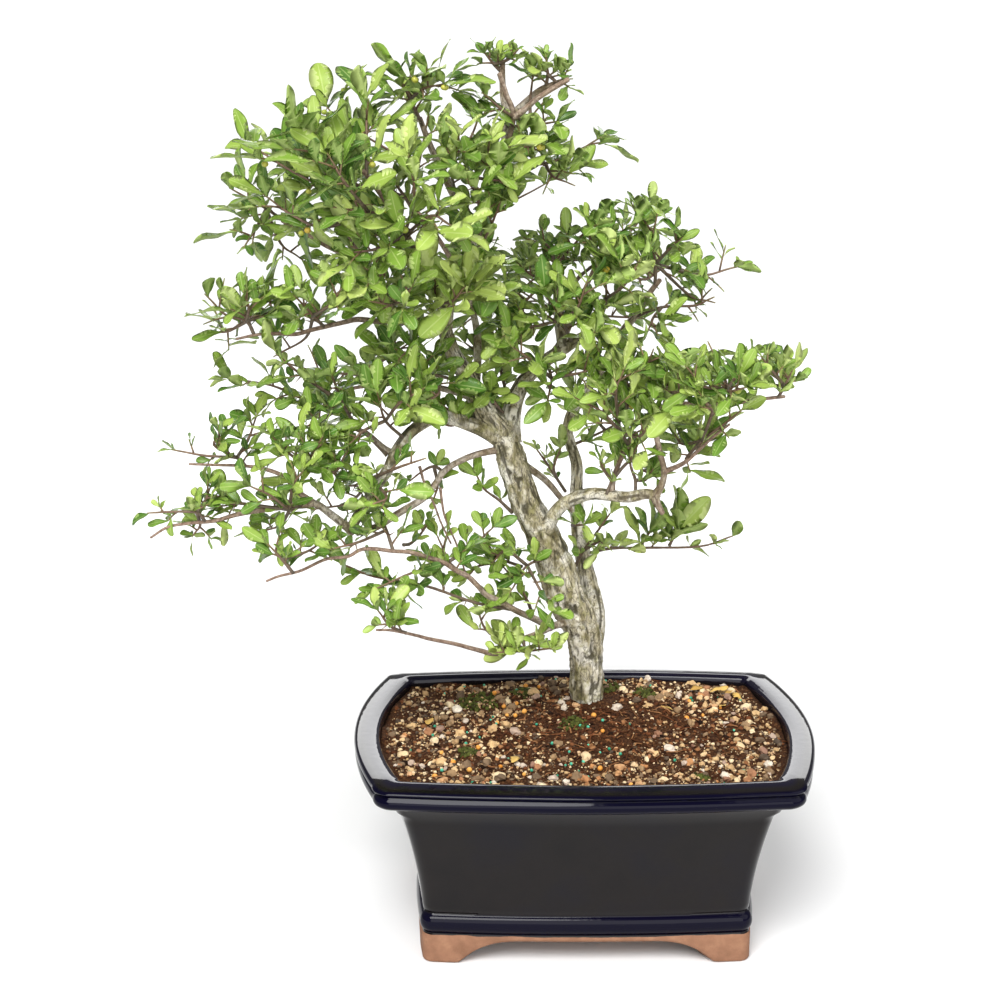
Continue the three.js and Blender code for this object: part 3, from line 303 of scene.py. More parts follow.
def named(tree, title):
    # a named value of the mesh
    return addNode(tree, "ShaderNodeAttribute", attribute_name=title).outputs["Fac"]


def coat(tree, shader, colour, rough, specular=None):
    # colour, roughness and specular level of a shader, each a value or another node's output
    for name, value in (("Base Color", colour), ("Roughness", rough), ("Specular IOR Level", specular)):
        if isinstance(value, bpy.types.NodeSocket):
            tree.links.new(value, shader.inputs[name])
        elif value is not None:
            shader.inputs[name].default_value = value


def bump(tree, shader, height, depthMm, strength):
    # relief that catches the light, up to depthMm deep
    node = addNode(tree, "ShaderNodeBump", {"Height": height, "Distance": depthMm * mm, "Strength": strength})
    tree.links.new(node.outputs[0], shader.inputs["Normal"])


# The pot: stoneware fired with a near-black navy gloss glaze, its feet left as bare buff clay

pot = {
    "rimX": 124.5, "rimY": 99.5, "rimBowX": 14.8, "rimBowY": 6.4, "rimCorner": 11.5,
    "footX": 97.5, "footY": 72.5, "footBow": 4.0, "footCorner": 7.0, "wallCorner": 8.0,
    "bandFrom": 19.0, "bandTo": 30.5, "wallUnder": 104.0, "wallThick": 7.0,
    "floorUnder": 15.0, "floorTop": 24.0, "footPad": 21.0, "footThick": 13.0, "archRun": 40.0,
    "archTop": 14.7, "archCurve": 2.7, "glazeFrom": 18.5, "uneven": 0.9,
    "cornerPoints": 14, "sidePoints": 62,
}


def outline(x, y, bowX, bowY, corner):
    # a rectangle with rounded corners whose sides swell outwards as parabolas, as a ring of points
    signs = np.array([[1, 1], [-1, 1], [-1, -1], [1, -1]])
    cornerPoints, sidePoints = pot["cornerPoints"], pot["sidePoints"]
    ring = []
    for quarter, (signX, signY) in enumerate(signs):
        turn = (quarter + np.arange(cornerPoints) / (cornerPoints - 1)) * np.pi / 2
        ring.append(np.stack([signX * (x - corner) + corner * np.cos(turn),
                              signY * (y - corner) + corner * np.sin(turn)], axis=1))
        share = np.arange(1, sidePoints + 1) / (sidePoints + 1)
        swell, along = 1 - (2 * share - 1) ** 2, 1 - 2 * share
        if quarter % 2 == 0:
            ring.append(np.stack([signX * (x - corner) * along, signY * (y + bowY * swell)], axis=1))
        else:
            ring.append(np.stack([signX * (x + bowX * swell), signY * (y - corner) * along], axis=1))
    return np.vstack(ring)


def potOutline(level, inset):
    # the pot's outline moved in by `inset`, at the level "foot" or "rim" or at a height on the wall
    p = pot
    if level == "foot":
        sizes = [p["footX"], p["footY"], p["footBow"], p["footBow"], p["footCorner"]]
    elif level == "rim":
        sizes = [p["rimX"], p["rimY"], p["rimBowX"], p["rimBowY"], p["rimCorner"]]
    else:
        # the wall leans out ever faster from the band up to the lip
        lean = max(0.0, (level - p["bandTo"]) / (p["wallUnder"] - p["bandTo"] - 0.5)) ** 1.5
        low = [p["footX"] - 0.9, p["footY"] - 0.9, p["footBow"], p["footBow"], p["wallCorner"]]
        high = [p["rimX"] - 14.5, p["rimY"] - 14.5, p["rimBowX"] - 2, p["rimBowY"], p["wallCorner"]]
        sizes = [a + (b - a) * lean for a, b in zip(low, high)]
    corner = max(sizes[4] - inset / 2, 4.0)
    return outline(sizes[0] - inset, sizes[1] - inset, sizes[2], sizes[3], corner)


def archHeight(ring):
    # how far the foot's bottom edge stands off the ground: nothing at the corners, an S-curve up to the apron
    p = pot
    x, y = np.abs(ring[:, 0]), np.abs(ring[:, 1])
    long = y > x - (p["footX"] - p["footY"])
    half = np.where(long, p["footX"], p["footY"])
    padFrom = half - p["footPad"]
    apronFrom = padFrom - p["archRun"] * half / p["footX"]
    share = np.clip((np.where(long, x, y) - apronFrom) / (padFrom - apronFrom), 0, 1)
    curve = 1 - share ** p["archCurve"]
    return np.where(share >= 1, 0, curve * p["archTop"])


def makePot(materials):
    # rings from the middle of the underside out, up the wall, over the lip and down inside to the floor
    p = pot
    rows = []

    def row(level, inset, z, edge=0, top=0, share=1):
        rows.append((share * potOutline(level, inset), z, edge, top))

    arch = archHeight(potOutline("foot", 0))
    row("foot", 40, p["floorUnder"], share=0.02)
    for share in (0.25, 0.5, 0.75):
        row("foot", p["footThick"], p["floorUnder"], share=share)
    row("foot", p["footThick"] + 0.6, p["floorUnder"])
    row("foot", p["footThick"], np.minimum(arch + 1.5, p["floorUnder"] - 0.1))
    row("foot", p["footThick"] - 1.2, arch)
    row("foot", 1.6, arch)
    row("foot", 0.5, arch + 0.35)
    row("foot", 0.1, arch + 1.3)
    for share in (0.15, 0.4, 0.7, 1.0):
        row("foot", 0, arch + 1.3 + (17.3 - arch - 1.3) * share)
    # band: a half round between a small step under it and a fine groove above it
    row("foot", 0.9, 18.3)
    row("foot", 0.9, 18.9, edge=0.2)
    middle, radius = (p["bandFrom"] + p["bandTo"]) / 2, (p["bandTo"] - p["bandFrom"]) / 2
    for turn in np.linspace(-1.35, 1.35, 15):
        row("foot", 2.2 - 3.2 * math.cos(turn), middle + radius * math.sin(turn) * 0.98, edge=0.9)
    row(p["bandTo"], 0.9, p["bandTo"] + 0.9)
    for z in np.concatenate([[33.0, 36.0], np.linspace(41, 97, 16)]):
        row(z, 0, z)
    # cove under the lip, then its lower bead, a groove, its upper bead and its flat top, as (inset, height)
    lip = [(13.6, 101.0), (12.4, 103.6), (10.4, 105.6), (7.4, 106.9), (4.6, 107.6), (2.6, 108.3),
           (1.2, 109.6), (0.5, 111.3), (0.6, 113.0), (1.3, 114.4), (2.2, 115.2), (2.5, 115.8),
           (1.9, 116.4), (0.8, 117.3), (0.1, 118.6), (0.2, 120.0), (1.0, 121.2), (2.6, 121.9),
           (5.0, 122.0), (8.0, 122.1), (11.0, 122.0), (13.4, 121.6), (14.8, 120.8), (15.6, 119.4),
           (15.9, 117.0), (16.0, 112.0), (16.3, 108.5)]
    for inset, z in lip:
        ring = potOutline("rim", inset)
        # the lip lies flat on the short sides and rolls forward on the long ones
        long = smoothstep(-14, 6, np.abs(ring[:, 1]) - np.abs(ring[:, 0]) + p["rimX"] - p["rimY"])
        fall = smoothstep(14, 2, inset) * long * 1.6 if z > 119 else 0
        bead = 1.0 if 107 < z < 121.5 and inset < 5 else 0.0
        # the last value marks the flat rim tops, which the glaze tints navy, partly as a painted reflection
        row("rim", inset, z - fall, bead, 1 if inset > 5 and z > 119 else 0)
    for z in (103.0, 98.0):
        row(98.0, 4.2, z)
    for z in (80.0, 60.0, 34.0):
        row(z, p["wallThick"], z)
    for share in (1, 0.6, 0.3, 0.02):
        row("foot", p["wallThick"] + 5, p["floorTop"], share=share)
    columns = len(arch)
    ring = np.array([np.column_stack([xy, np.broadcast_to(z, (columns,))]) for xy, z, edge, top in rows])
    # hand-made unevenness of the fired clay, a fraction of a millimetre, but none underneath or on the floor
    wave = (noise(ring.reshape(-1, 3), 46.0, 3) - 0.5).reshape(ring.shape[:2])
    ring[7:-5, :, :2] *= 1 + (wave[7:-5, :, None] * p["uneven"]) / 110
    edge, top = (np.repeat([values[column] for values in rows], columns) for column in (2, 3))
    shape = Shape()
    shape.addSection(ring, edge=edge, top=top)
    shape.make("glazedPot", materials, ("pot",), angle=50)


def glazeMaterial():
    # gloss glaze over stoneware: thin and brown-black on the walls, pooled to deep navy on the beads, a navy
    # tint on the flat rim tops that is partly the glaze's colour and partly a painted reflection, and bare
    # clay below the band
    material, tree, shader, place = newMaterial("navyGlazeOnStoneware")
    high = addNode(tree, "ShaderNodeSeparateXYZ", {"Vector": place}).outputs["Z"]
    line = sums(tree, "ADD", high, times(tree, grain(tree, place, 14.0, 2.0), 1.2 * mm))
    bare = sums(tree, "LESS_THAN", line, float(potMiddle[2]) + pot["glazeFrom"] * mm)
    cloud = grain(tree, place, 55.0, 3.0)
    speck = grain(tree, place, 1.6, 2.0)
    edge = named(tree, "edge")
    wall = ramp(tree, cloud, [(0.3, "#090709"), (0.5, "#120e0e"), (0.7, "#0d0b13")])
    wall = blend(tree, times(tree, speck, 0.12), wall, linear("#2c2926"))
    glaze = blend(tree, edge, wall, linear("#050417"))
    # the flat rim tops take a navy tint: partly the glaze's own colour, partly a painted reflection of light
    # on the glaze
    glaze = blend(tree, times(tree, named(tree, "top"), 0.6), glaze, linear("#0d0b24"))
    clay = ramp(tree, grain(tree, place, 9.0, 4.0), [(0.3, "#76543f"), (0.5, "#835e48"), (0.75, "#916c53")])
    pits = grain(tree, place, 0.9, 2.0)
    clay = blend(tree, ramp(tree, pits, [(0.28, "#ffffff"), (0.4, "#000000")]), clay, linear("#7c5b46"))
    glossy = ramp(tree, cloud, [(0.2, "#3a3a3a"), (0.8, "#505050")])
    rough = blend(tree, bare, glossy, (0.82, 0.82, 0.82, 1))
    # the thick navy glaze on the beads mirrors less than the walls
    shine = sums(tree, "SUBTRACT", 0.21, times(tree, edge, 0.1))
    coat(tree, shader, blend(tree, bare, glaze, clay), rough, shine)
    shader.inputs["IOR"].default_value = 1.52
    waves = times(tree, grain(tree, place, 6.0, 1.0), 0.5)
    bump(tree, shader, sums(tree, "ADD", waves, times(tree, times(tree, pits, bare), 2.2)), 0.25, 0.35)
    return material


# The drain screens: moulded black polyethylene mesh

def screenMaterial():
    material, tree, shader, place = newMaterial("polyethyleneMesh")
    coat(tree, shader, ramp(tree, grain(tree, place, 4.0), [(0.3, "#1c1f1d"), (0.7, "#2b2e2b")]), 0.55)
    bump(tree, shader, grain(tree, place, 0.8), 0.1, 0.3)
    return material


# The soil: damp peat and fine bark with angular grit, feed pellets, moss and a few dry leaves

soil = {
    "edge": 115.4, "mound": 5.5, "moundSpread": 46.0, "trunkFoot": (8.0, 49.0), "bareRound": 15.5,
    "gap": 0.15, "rings": 90, "stones": 820, "chips": 6200, "crumbs": 3800, "fibres": 1100,
    "fibrePoints": 7, "beads": 85, "feed": 34, "mossTufts": 620,
    # patches of moss: where each is and its reach
    "moss": [(-62, 52, 15), (-6, 8, 9), (42, 62, 8), (-34, 62, 10), (18, 66, 9), (-70, -30, 6), (66, -66, 5)],
    # fallen leaves: where each lies and its length
    "dryLeaves": [(84, 62, 13), (92, 55, 11), (72, 68, 12), (99, 66, 10), (-44, -52, 11), (88, 40, 9),
                  (-92, 20, 9), (50, 30, 8)],
}


def soilHeight(x, y):
    # level at the wall, a low mound round the trunk, and slow waves
    footX, footY = soil["trunkFoot"]
    away = ((x - footX) ** 2 + (y - footY) ** 2) / (2 * soil["moundSpread"] ** 2)
    waves = 0.9 * np.sin(x / 11) * np.cos(y / 9) + 0.5 * np.sin(x / 5 + y / 7)
    return soil["edge"] + soil["mound"] * np.exp(-away) + waves


def soilTop(x, y):
    # the heap's height with crumbly lumps a few millimetres across
    lumps = (levelNoise(x, y, 7.0, 1) - 0.5) * 2.4 + (levelNoise(x, y, 2.6, 2) - 0.5) * 1.5
    return soilHeight(x, y) + (lumps + (levelNoise(x, y, 1.3, 5) - 0.5) * 0.7)


def makeSoil(materials):
    # rings up the inside of the pot, from the floor to the wall's top, then over the heap to its middle
    gap, wallThick, floor = soil["gap"], pot["wallThick"], pot["floorTop"] + 0.35
    edge = potOutline("rim", 16.0 + gap)
    rows = [(0.02 * edge, floor), (potOutline("foot", wallThick + 5.4), floor)]
    rows += [(potOutline(z, wallThick + gap), z) for z in (34.0, 60.0, 80.0)]
    rows += [(potOutline(98.0, 4.2 + gap), z) for z in (98.0, 102.5)]
    rows += [(potOutline("rim", 16.5), 108.0), (edge, 111.0)]
    rings = [np.column_stack([xy, np.full(len(xy), z)]) for xy, z in rows]
    for share in np.linspace(1, 0.012, soil["rings"]):
        xy = edge * share
        rings.append(np.column_stack([xy, soilTop(xy[:, 0], xy[:, 1])]))
    shape = Shape()
    shape.addSection(np.array(rings))
    shape.make("soilHeap", materials, ("soil",))


def ball(level):
    # corners and triangles of an icosahedron, each triangle split in four `level` times, on a unit sphere
    g = (1 + 5**0.5) / 2
    corners = unit(np.array([(-1, g, 0), (1, g, 0), (-1, -g, 0), (1, -g, 0), (0, -1, g), (0, 1, g),
                             (0, -1, -g), (0, 1, -g), (g, 0, -1), (g, 0, 1), (-g, 0, -1), (-g, 0, 1)], float))
    faces = np.array([(0, 11, 5), (0, 5, 1), (0, 1, 7), (0, 7, 10), (0, 10, 11), (1, 5, 9), (5, 11, 4),
                      (11, 10, 2), (10, 7, 6), (7, 1, 8), (3, 9, 4), (3, 4, 2), (3, 2, 6), (3, 6, 8),
                      (3, 8, 9), (4, 9, 5), (2, 4, 11), (6, 2, 10), (8, 6, 7), (9, 8, 1)])
    for _ in range(level):
        edges = np.sort(np.vstack([faces[:, [0, 1]], faces[:, [1, 2]], faces[:, [2, 0]]]), axis=1)
        unique, number = np.unique(edges, axis=0, return_inverse=True)
        ab, bc, ca = number.reshape(3, -1) + len(corners)
        corners = np.vstack([corners, unit(corners[unique].mean(axis=1))])
        a, b, c = faces.T
        split = ((a, ab, ca), (b, bc, ab), (c, ca, bc), (ab, bc, ca))
        faces = np.vstack([np.stack(triangle, axis=1) for triangle in split])
    return corners, faces


def turned(points, angles):
    # each set of points turned about X, then Y, then Z by its three angles
    for axis, (i, j) in enumerate(((1, 2), (2, 0), (0, 1))):
        cos, sin = np.cos(angles[:, axis, None]), np.sin(angles[:, axis, None])
        first, second = points[..., i].copy(), points[..., j].copy()
        points[..., i], points[..., j] = first * cos - second * sin, first * sin + second * cos
    return points


def peatShare(x, y):
    # 1 where the surface is mostly peat and fibres, in the middle and front right, falling to 0 by the walls
    oval = ((x - 22) / 78) ** 2 + ((y - 2) / 62) ** 2
    return np.clip(1.25 - oval - 0.9 * (levelNoise(x, y, 24.0, 8) - 0.35), 0, 1)


def onSoil(count, seed, inset=0.975):
    # seeded places all over the soil's top, clear of the pot's wall and the trunk, with a draw for each
    number = np.arange(count)
    x = (2 * draw(number, seed) - 1) * (pot["rimX"] - 3)
    y = (2 * draw(number, seed + 0.5) - 1) * (pot["rimY"] - 9)
    edge = potOutline("rim", 16.4)
    heading = np.arctan2(edge[:, 1], edge[:, 0])
    order = np.argsort(heading)
    away = np.hypot(edge[:, 0], edge[:, 1])
    reach = np.interp(np.arctan2(y, x), heading[order], away[order], period=2 * np.pi)
    footX, footY = soil["trunkFoot"]
    good = (np.hypot(x, y) < reach * inset) & (np.hypot(x - footX, y - footY) > soil["bareRound"])
    return x, y, good, draw(number, seed + 0.7)


def scattered(shape, x, y, size, squash, level, seed, rough, lift, slot=0, **values):
    # rough balls of the given sizes, each squashed, dented and turned its own way, half sunk in the soil
    corners, faces = ball(level)
    count = len(corners)
    number = np.arange(len(x))
    dents = 1 + rough * (draw(np.arange(count)[None, :] + 13.0 * number[:, None], seed + 3) - 0.5)
    points = corners[None] * dents[..., None]
    points[..., 1] *= (0.65 + 0.35 * draw(number, seed + 4))[:, None]
    points[..., 2] *= squash
    tilt = [draw(number, seed + 5) - 0.5, draw(number, seed + 6) - 0.5, draw(number, seed + 7) * fullTurn]
    points = turned(points * size[:, None, None], np.stack(tilt, axis=1))
    points = points + np.stack([x, y, soilTop(x, y) + size * lift], axis=1)[:, None]
    every = (faces[None] + (number * count)[:, None, None]).reshape(-1, 3)
    shape.add(points, every, slot, **{name: np.repeat(value, count) for name, value in values.items()})


def makeGrit(materials):
    # stones up to 3.7 mm and, far more of them, small chips; fewer where the surface is peat
    shape = Shape()
    kinds = ((soil["stones"], 1.3, 3.7, 1, 10, 1.0, 1.0), (soil["chips"], 0.5, 1.5, 0, 20, 0.8, 0.66))
    for count, low, high, level, seed, shy, tints in kinds:
        x, y, good, pick = onSoil(count, seed)
        good &= pick > peatShare(x, y) * shy
        x, y = x[good], y[good]
        number = np.arange(len(x))
        size = low + (high - low) * draw(number, seed + 1) ** 3.0
        # the small chips are mostly brown, the stones run from brown to cream
        scattered(shape, x, y, size, 0.68, level, seed, 0.55, 0.3, tint=draw(number, seed + 2) * tints)
    shape.make("grit", materials, (), angle=22)


def makePeat(materials):
    # crumbs of peat and bark, and curled fibres lying on them
    shape = Shape()
    x, y, good, pick = onSoil(soil["crumbs"], 40)
    good &= pick < 0.35 + 0.65 * peatShare(x, y)
    x, y = x[good], y[good]
    number = np.arange(len(x))
    scattered(shape, x, y, 0.7 + 1.7 * draw(number, 41) ** 2.5, 0.5, 0, 40, 0.6, 0.2, tint=draw(number, 42))
    x, y, good, pick = onSoil(soil["fibres"], 50)
    good &= pick < 0.2 + 0.8 * peatShare(x, y)
    count = soil["fibrePoints"]
    share = np.linspace(0, 1, count)
    for number in np.nonzero(good)[0]:
        length = 4 + 13 * draw(number, 52) ** 2
        heading = draw(number, 51) * fullTurn + (draw(number, 53) - 0.5) * 3.2 * share
        line = np.stack([np.cumsum(np.cos(heading)), np.cumsum(np.sin(heading))], axis=1) * length / count
        line += [x[number] - line[count // 2, 0], y[number] - line[count // 2, 1]]
        rise = 0.5 + 1.3 * draw(number, 54) * np.sin(np.pi * share)
        line = np.column_stack([line, soilTop(line[:, 0], line[:, 1]) + rise])
        radius = (0.26 + 0.4 * draw(number, 55)) * (1 - 0.6 * share)
        tube(shape, line, radius, 4, tint=np.full(count, 0.35 + 0.65 * draw(number, 56)))
    shape.make("peatCrumbs", materials, ())


def makePellets(materials):
    # teal slow-release beads and yellow-orange feed balls
    shape = Shape()
    kinds = ((0, soil["beads"], 0.75, 1.15, 60), (1, soil["feed"], 1.2, 1.8, 70))
    for slot, count, low, high, seed in kinds:
        x, y, good, _ = onSoil(count, seed, 0.93)
        x, y = x[good], y[good]
        number = np.arange(len(x))
        size = low + (high - low) * draw(number, seed + 1)
        scattered(shape, x, y, size, 0.97, 1, seed, 0.03, 0.8, slot, tint=draw(number, seed + 2))
    shape.make("feedPellets", materials, ())


def makeMoss(materials):
    # moss in a few low patches: small rough tufts standing close together
    shape = Shape()
    for index, (middleX, middleY, reach) in enumerate(soil["moss"]):
        number = np.arange(int(soil["mossTufts"] * reach / 60))
        away, turn = reach * draw(number, index + 80.0) ** 0.7, draw(number, index + 90.0) * fullTurn
        x, y = middleX + away * np.cos(turn), middleY + away * np.sin(turn)
        size = 0.8 + 1.0 * draw(number, index + 95.0)
        scattered(shape, x, y, size, 0.95, 0, 80 + index, 0.8, 0.35, tint=draw(number, index + 97.0))
    shape.make("mossTufts", materials, ())


def soilMaterial():
    # peat: dark, crumbly and matt, with darker lumps
    material, tree, shader, place = newMaterial("dampPeat")
    lumps, crumbs = grain(tree, place, 9.0, 4.0), grain(tree, place, 1.5, 4.0, 0.7)
    tone = ramp(tree, crumbs, [(0.3, "#120a05"), (0.48, "#3b2213"), (0.62, "#643f25"), (0.78, "#946a42")])
    tone = blend(tree, lumps, tone, linear("#3a2417"), "MULTIPLY")
    dry = ramp(tree, crumbs, [(0.3, "#1a0e07"), (0.55, "#4f301b"), (0.8, "#9a7550")])
    coat(tree, shader, blend(tree, 0.55, tone, dry), 0.92, 0.12)
    bump(tree, shader, crumbs, 1.2, 0.9)
    return material


def tintMaterial(name, stops, rough, sizeMm, depthMm, mottle=0.35):
    # loose grains whose colour runs along the stops by each grain's own draw, mottled at sizeMm
    material, tree, shader, place = newMaterial(name)
    cloud = grain(tree, place, sizeMm, 3.0)
    mottles = ramp(tree, cloud, [(0.3, "#8a8078"), (0.65, "#ffffff")])
    tone = blend(tree, mottle, ramp(tree, named(tree, "tint"), stops), mottles, "MULTIPLY")
    coat(tree, shader, tone, rough, 0.55 - 0.5 * rough)
    bump(tree, shader, cloud, depthMm, 0.6)
    return material


# Routes in whole millimetres. A limb has its radii, evenly spread from its foot to its tip, and its route.

limbs = {
    "trunk": ([13.5, 13.6, 13.2, 12.7, 11.8, 9.9, 8.9, 8, 7.1, 5.4, 4.6, 4.1],
        [(8, 49, 74), (8, 49, 96), (7, 48, 127), (6, 48, 145), (4, 47, 160), (0, 46, 175), (-8, 44, 190),
         (-16, 41, 212), (-25, 38, 233), (-35, 35, 254), (-41, 33, 273), (-46, 31, 290), (-51, 30, 301),
         (-60, 28, 312), (-65, 26, 323), (-70, 24, 334), (-77, 22, 346), (-81, 21, 356), (-84, 20, 366)]),
    "leader": ([4.4, 3.4, 1.6],
        [(-84, 20, 365), (-81, 21, 378), (-76, 23, 389), (-72, 25, 402), (-68, 27, 415), (-70, 28, 430),
         (-77, 28, 441), (-84, 28, 455), (-91, 27, 470), (-97, 26, 486)]),
    "right_fork": ([6.2, 4.6, 4.2, 2.8],
        [(-46, 32, 293), (-43, 36, 312), (-37, 39, 326), (-28, 42, 336), (-18, 44, 343), (-7, 46, 350),
         (4, 48, 356), (11, 49, 363)]),
    "second_stem": ([7.5, 6.2, 5.3, 4.3, 3.3, 3, 2.4, 1.6],
        [(7, 54, 139), (10, 58, 156), (12, 62, 170), (10, 66, 182), (7, 69, 194), (3, 72, 208), (0, 74, 222),
         (-2, 76, 237), (-2, 78, 251), (-2, 80, 266), (-6, 82, 278), (-8, 83, 288), (-5, 82, 300),
         (3, 78, 313), (11, 72, 327), (18, 67, 339), (22, 64, 348), (26, 62, 356), (31, 60, 363),
         (35, 58, 370), (41, 56, 380), (46, 54, 387)]),
    "crossing_limb": ([2.6, 2.2, 1.8],
        [(-38, 40, 278), (-34, 50, 272), (-22, 62, 260), (-11, 70, 245), (-4, 75, 236)]),
    "apex_prong": ([2.2, 1.9, 1.8, 1.7],
        [(-60, 27, 424), (-52, 26, 444), (-47, 22, 468), (-43, 16, 488), (-47, 12, 500), (-51, 10, 512)]),
    "apex_prong_fork": ([1.9, 1.6], [(-43, 16, 487), (-36, 14, 492), (-28, 12, 499), (-12, 8, 509)]),
    "bare_twig": ([0.8, 0.6], [(-86, 0, 272), (-85, 1, 262), (-83, 2, 252), (-76, 4, 234), (-71, 6, 215)]),
    "bare_twig_low": ([0.8, 0.6],
        [(-98, -4, 286), (-95, -1, 274), (-90, 1, 262), (-86, 3, 250), (-80, 5, 236)]),
    "y_branch": ([3.2, 2], [(-12, 45, 347), (-15, 52, 362), (-16, 56, 376), (-20, 60, 390)]),
    "y_branch_fork": ([2, 1.3], [(-16, 56, 377), (-10, 54, 381), (-1, 52, 391)]),
    "low_right": ([3.8, 3.2, 2.7],
        [(-25, 36, 230), (-20, 30, 243), (-13, 25, 254), (-3, 20, 261), (6, 16, 264), (16, 12, 264),
         (26, 8, 264), (36, 4, 267), (43, 2, 266)]),
    "low_right_stub": ([2.4, 1.5], [(41, 2, 266), (43, 1, 261), (46, 0, 256)]),
    "right_rise": ([2.3, 1.1],
        [(41, 2, 266), (45, 0, 274), (46, -2, 283), (43, -4, 295), (41, -5, 306), (43, -6, 318),
         (52, -8, 324), (65, -10, 325), (82, -11, 325), (99, -12, 328), (114, -13, 330)]),
    "right_rise_low": ([1.5, 0.8],
        [(46, -2, 282), (57, -8, 289), (66, -13, 299), (73, -17, 307), (82, -19, 315)]),
    "mid_rise": ([1.9, 1],
        [(16, 12, 264), (17, 14, 273), (21, 16, 284), (26, 17, 293), (28, 16, 304), (25, 14, 316)]),
    "left_main": ([4.4, 3.5, 3.2],
        [(-51, 29, 296), (-64, 24, 303), (-77, 19, 309), (-86, 15, 312), (-94, 12, 310), (-104, 6, 304),
         (-112, 0, 294), (-117, -5, 284), (-124, -10, 275), (-130, -14, 265), (-135, -17, 258),
         (-138, -19, 252)]),
    "left_main_stub": ([2.5, 1.2],
        [(-116, 1, 293), (-121, 2, 297), (-129, 4, 304), (-137, 5, 308), (-144, 6, 318)]),
    "left_low": ([2, 2.4],
        [(-47, 32, 288), (-64, 22, 287), (-76, 14, 284), (-84, 7, 280), (-89, 1, 274), (-96, -5, 267),
         (-110, -12, 260), (-123, -17, 253), (-135, -19, 250)]),
    "far_left_a": ([2.9, 0.7],
        [(-137, -19, 251), (-142, -22, 256), (-149, -26, 263), (-157, -29, 270), (-164, -31, 270),
         (-174, -34, 270), (-187, -37, 269), (-202, -40, 267), (-214, -42, 264), (-229, -44, 263),
         (-241, -45, 261), (-251, -46, 255)]),
    "far_left_b": ([1.7, 0.8],
        [(-156, -29, 269), (-168, -26, 277), (-176, -23, 285), (-188, -20, 289), (-201, -17, 290),
         (-217, -15, 290), (-232, -13, 290)]),
    "lowest": ([2.6, 0.8],
        [(-5, 43, 174), (-12, 36, 175), (-20, 28, 175), (-30, 19, 173), (-40, 11, 172), (-47, 4, 168),
         (-56, -2, 169), (-62, -6, 172), (-70, -11, 176), (-78, -16, 180), (-93, -24, 186), (-101, -29, 190),
         (-114, -35, 195), (-123, -40, 197)]),
    "lowest_rise": ([2.2, 0.8],
        [(-19, 29, 175), (-29, 21, 183), (-40, 12, 191), (-51, 4, 200), (-59, -2, 206), (-64, -6, 213),
         (-70, -9, 220), (-77, -13, 225), (-84, -17, 231), (-92, -21, 235), (-103, -26, 240),
         (-113, -30, 242), (-125, -35, 245), (-132, -38, 245), (-139, -41, 242), (-151, -46, 242),
         (-165, -52, 237), (-177, -56, 235), (-184, -59, 233)]),
    "upper_left_bar": ([2.6, 0.8],
        [(-85, 20, 364), (-92, 18, 369), (-99, 15, 369), (-109, 10, 370), (-122, 5, 371), (-133, 0, 373),
         (-141, -4, 372), (-158, -10, 369), (-168, -14, 367), (-178, -17, 368), (-189, -20, 368),
         (-201, -23, 366)]),
    "upper_left_rise": ([2.8, 1.3],
        [(-107, 12, 369), (-113, 17, 375), (-115, 22, 382), (-120, 27, 389), (-133, 33, 399),
         (-145, 38, 406), (-154, 41, 410), (-167, 44, 417), (-180, 46, 424)]),
    "forward_rise": ([3, 1.3],
        [(-80, 21, 379), (-87, 14, 391), (-94, 6, 403), (-99, -1, 413), (-105, -8, 425), (-111, -15, 437),
         (-119, -22, 450), (-127, -28, 462)]),
    "apex_stem": ([2.8, 2.6],
        [(-71, 26, 405), (-65, 32, 417), (-58, 38, 434), (-52, 42, 451), (-48, 45, 468), (-46, 46, 483),
         (-45, 46, 487)]),
    "apex_prong_left": ([2.4, 1.7], [(-45, 46, 485), (-48, 45, 494), (-49, 44, 505), (-49, 43, 516)]),
    "apex_prong_right": ([2.6, 1.6],
        [(-45, 46, 484), (-39, 43, 490), (-28, 39, 500), (-20, 36, 504), (-12, 34, 507)]),
    "back_limb": ([3, 1.2],
        [(-66, 27, 324), (-64, 46, 340), (-65, 64, 357), (-71, 80, 375), (-81, 94, 394), (-94, 106, 412),
         (-108, 115, 427)]),
    "back_right_limb": ([2.6, 1.2],
        [(-18, 45, 343), (-10, 64, 353), (-2, 82, 367), (6, 98, 381), (13, 110, 395)]),
    "back_left_limb": ([2.6, 1],
        [(-64, 29, 319), (-78, 50, 319), (-95, 68, 319), (-115, 84, 317), (-136, 98, 312),
         (-156, 109, 306)]),
}


def newSpray(leafLength, shoots, reach, stem, *forks):
    # how long its leaves are, how many side shoots each arm has and how far they reach, then the routes of
    # the stem and of the forks, which all start at the stem's second point
    return {"leaf": leafLength, "shoots": shoots, "reach": reach, "stem": stem, "forks": forks}


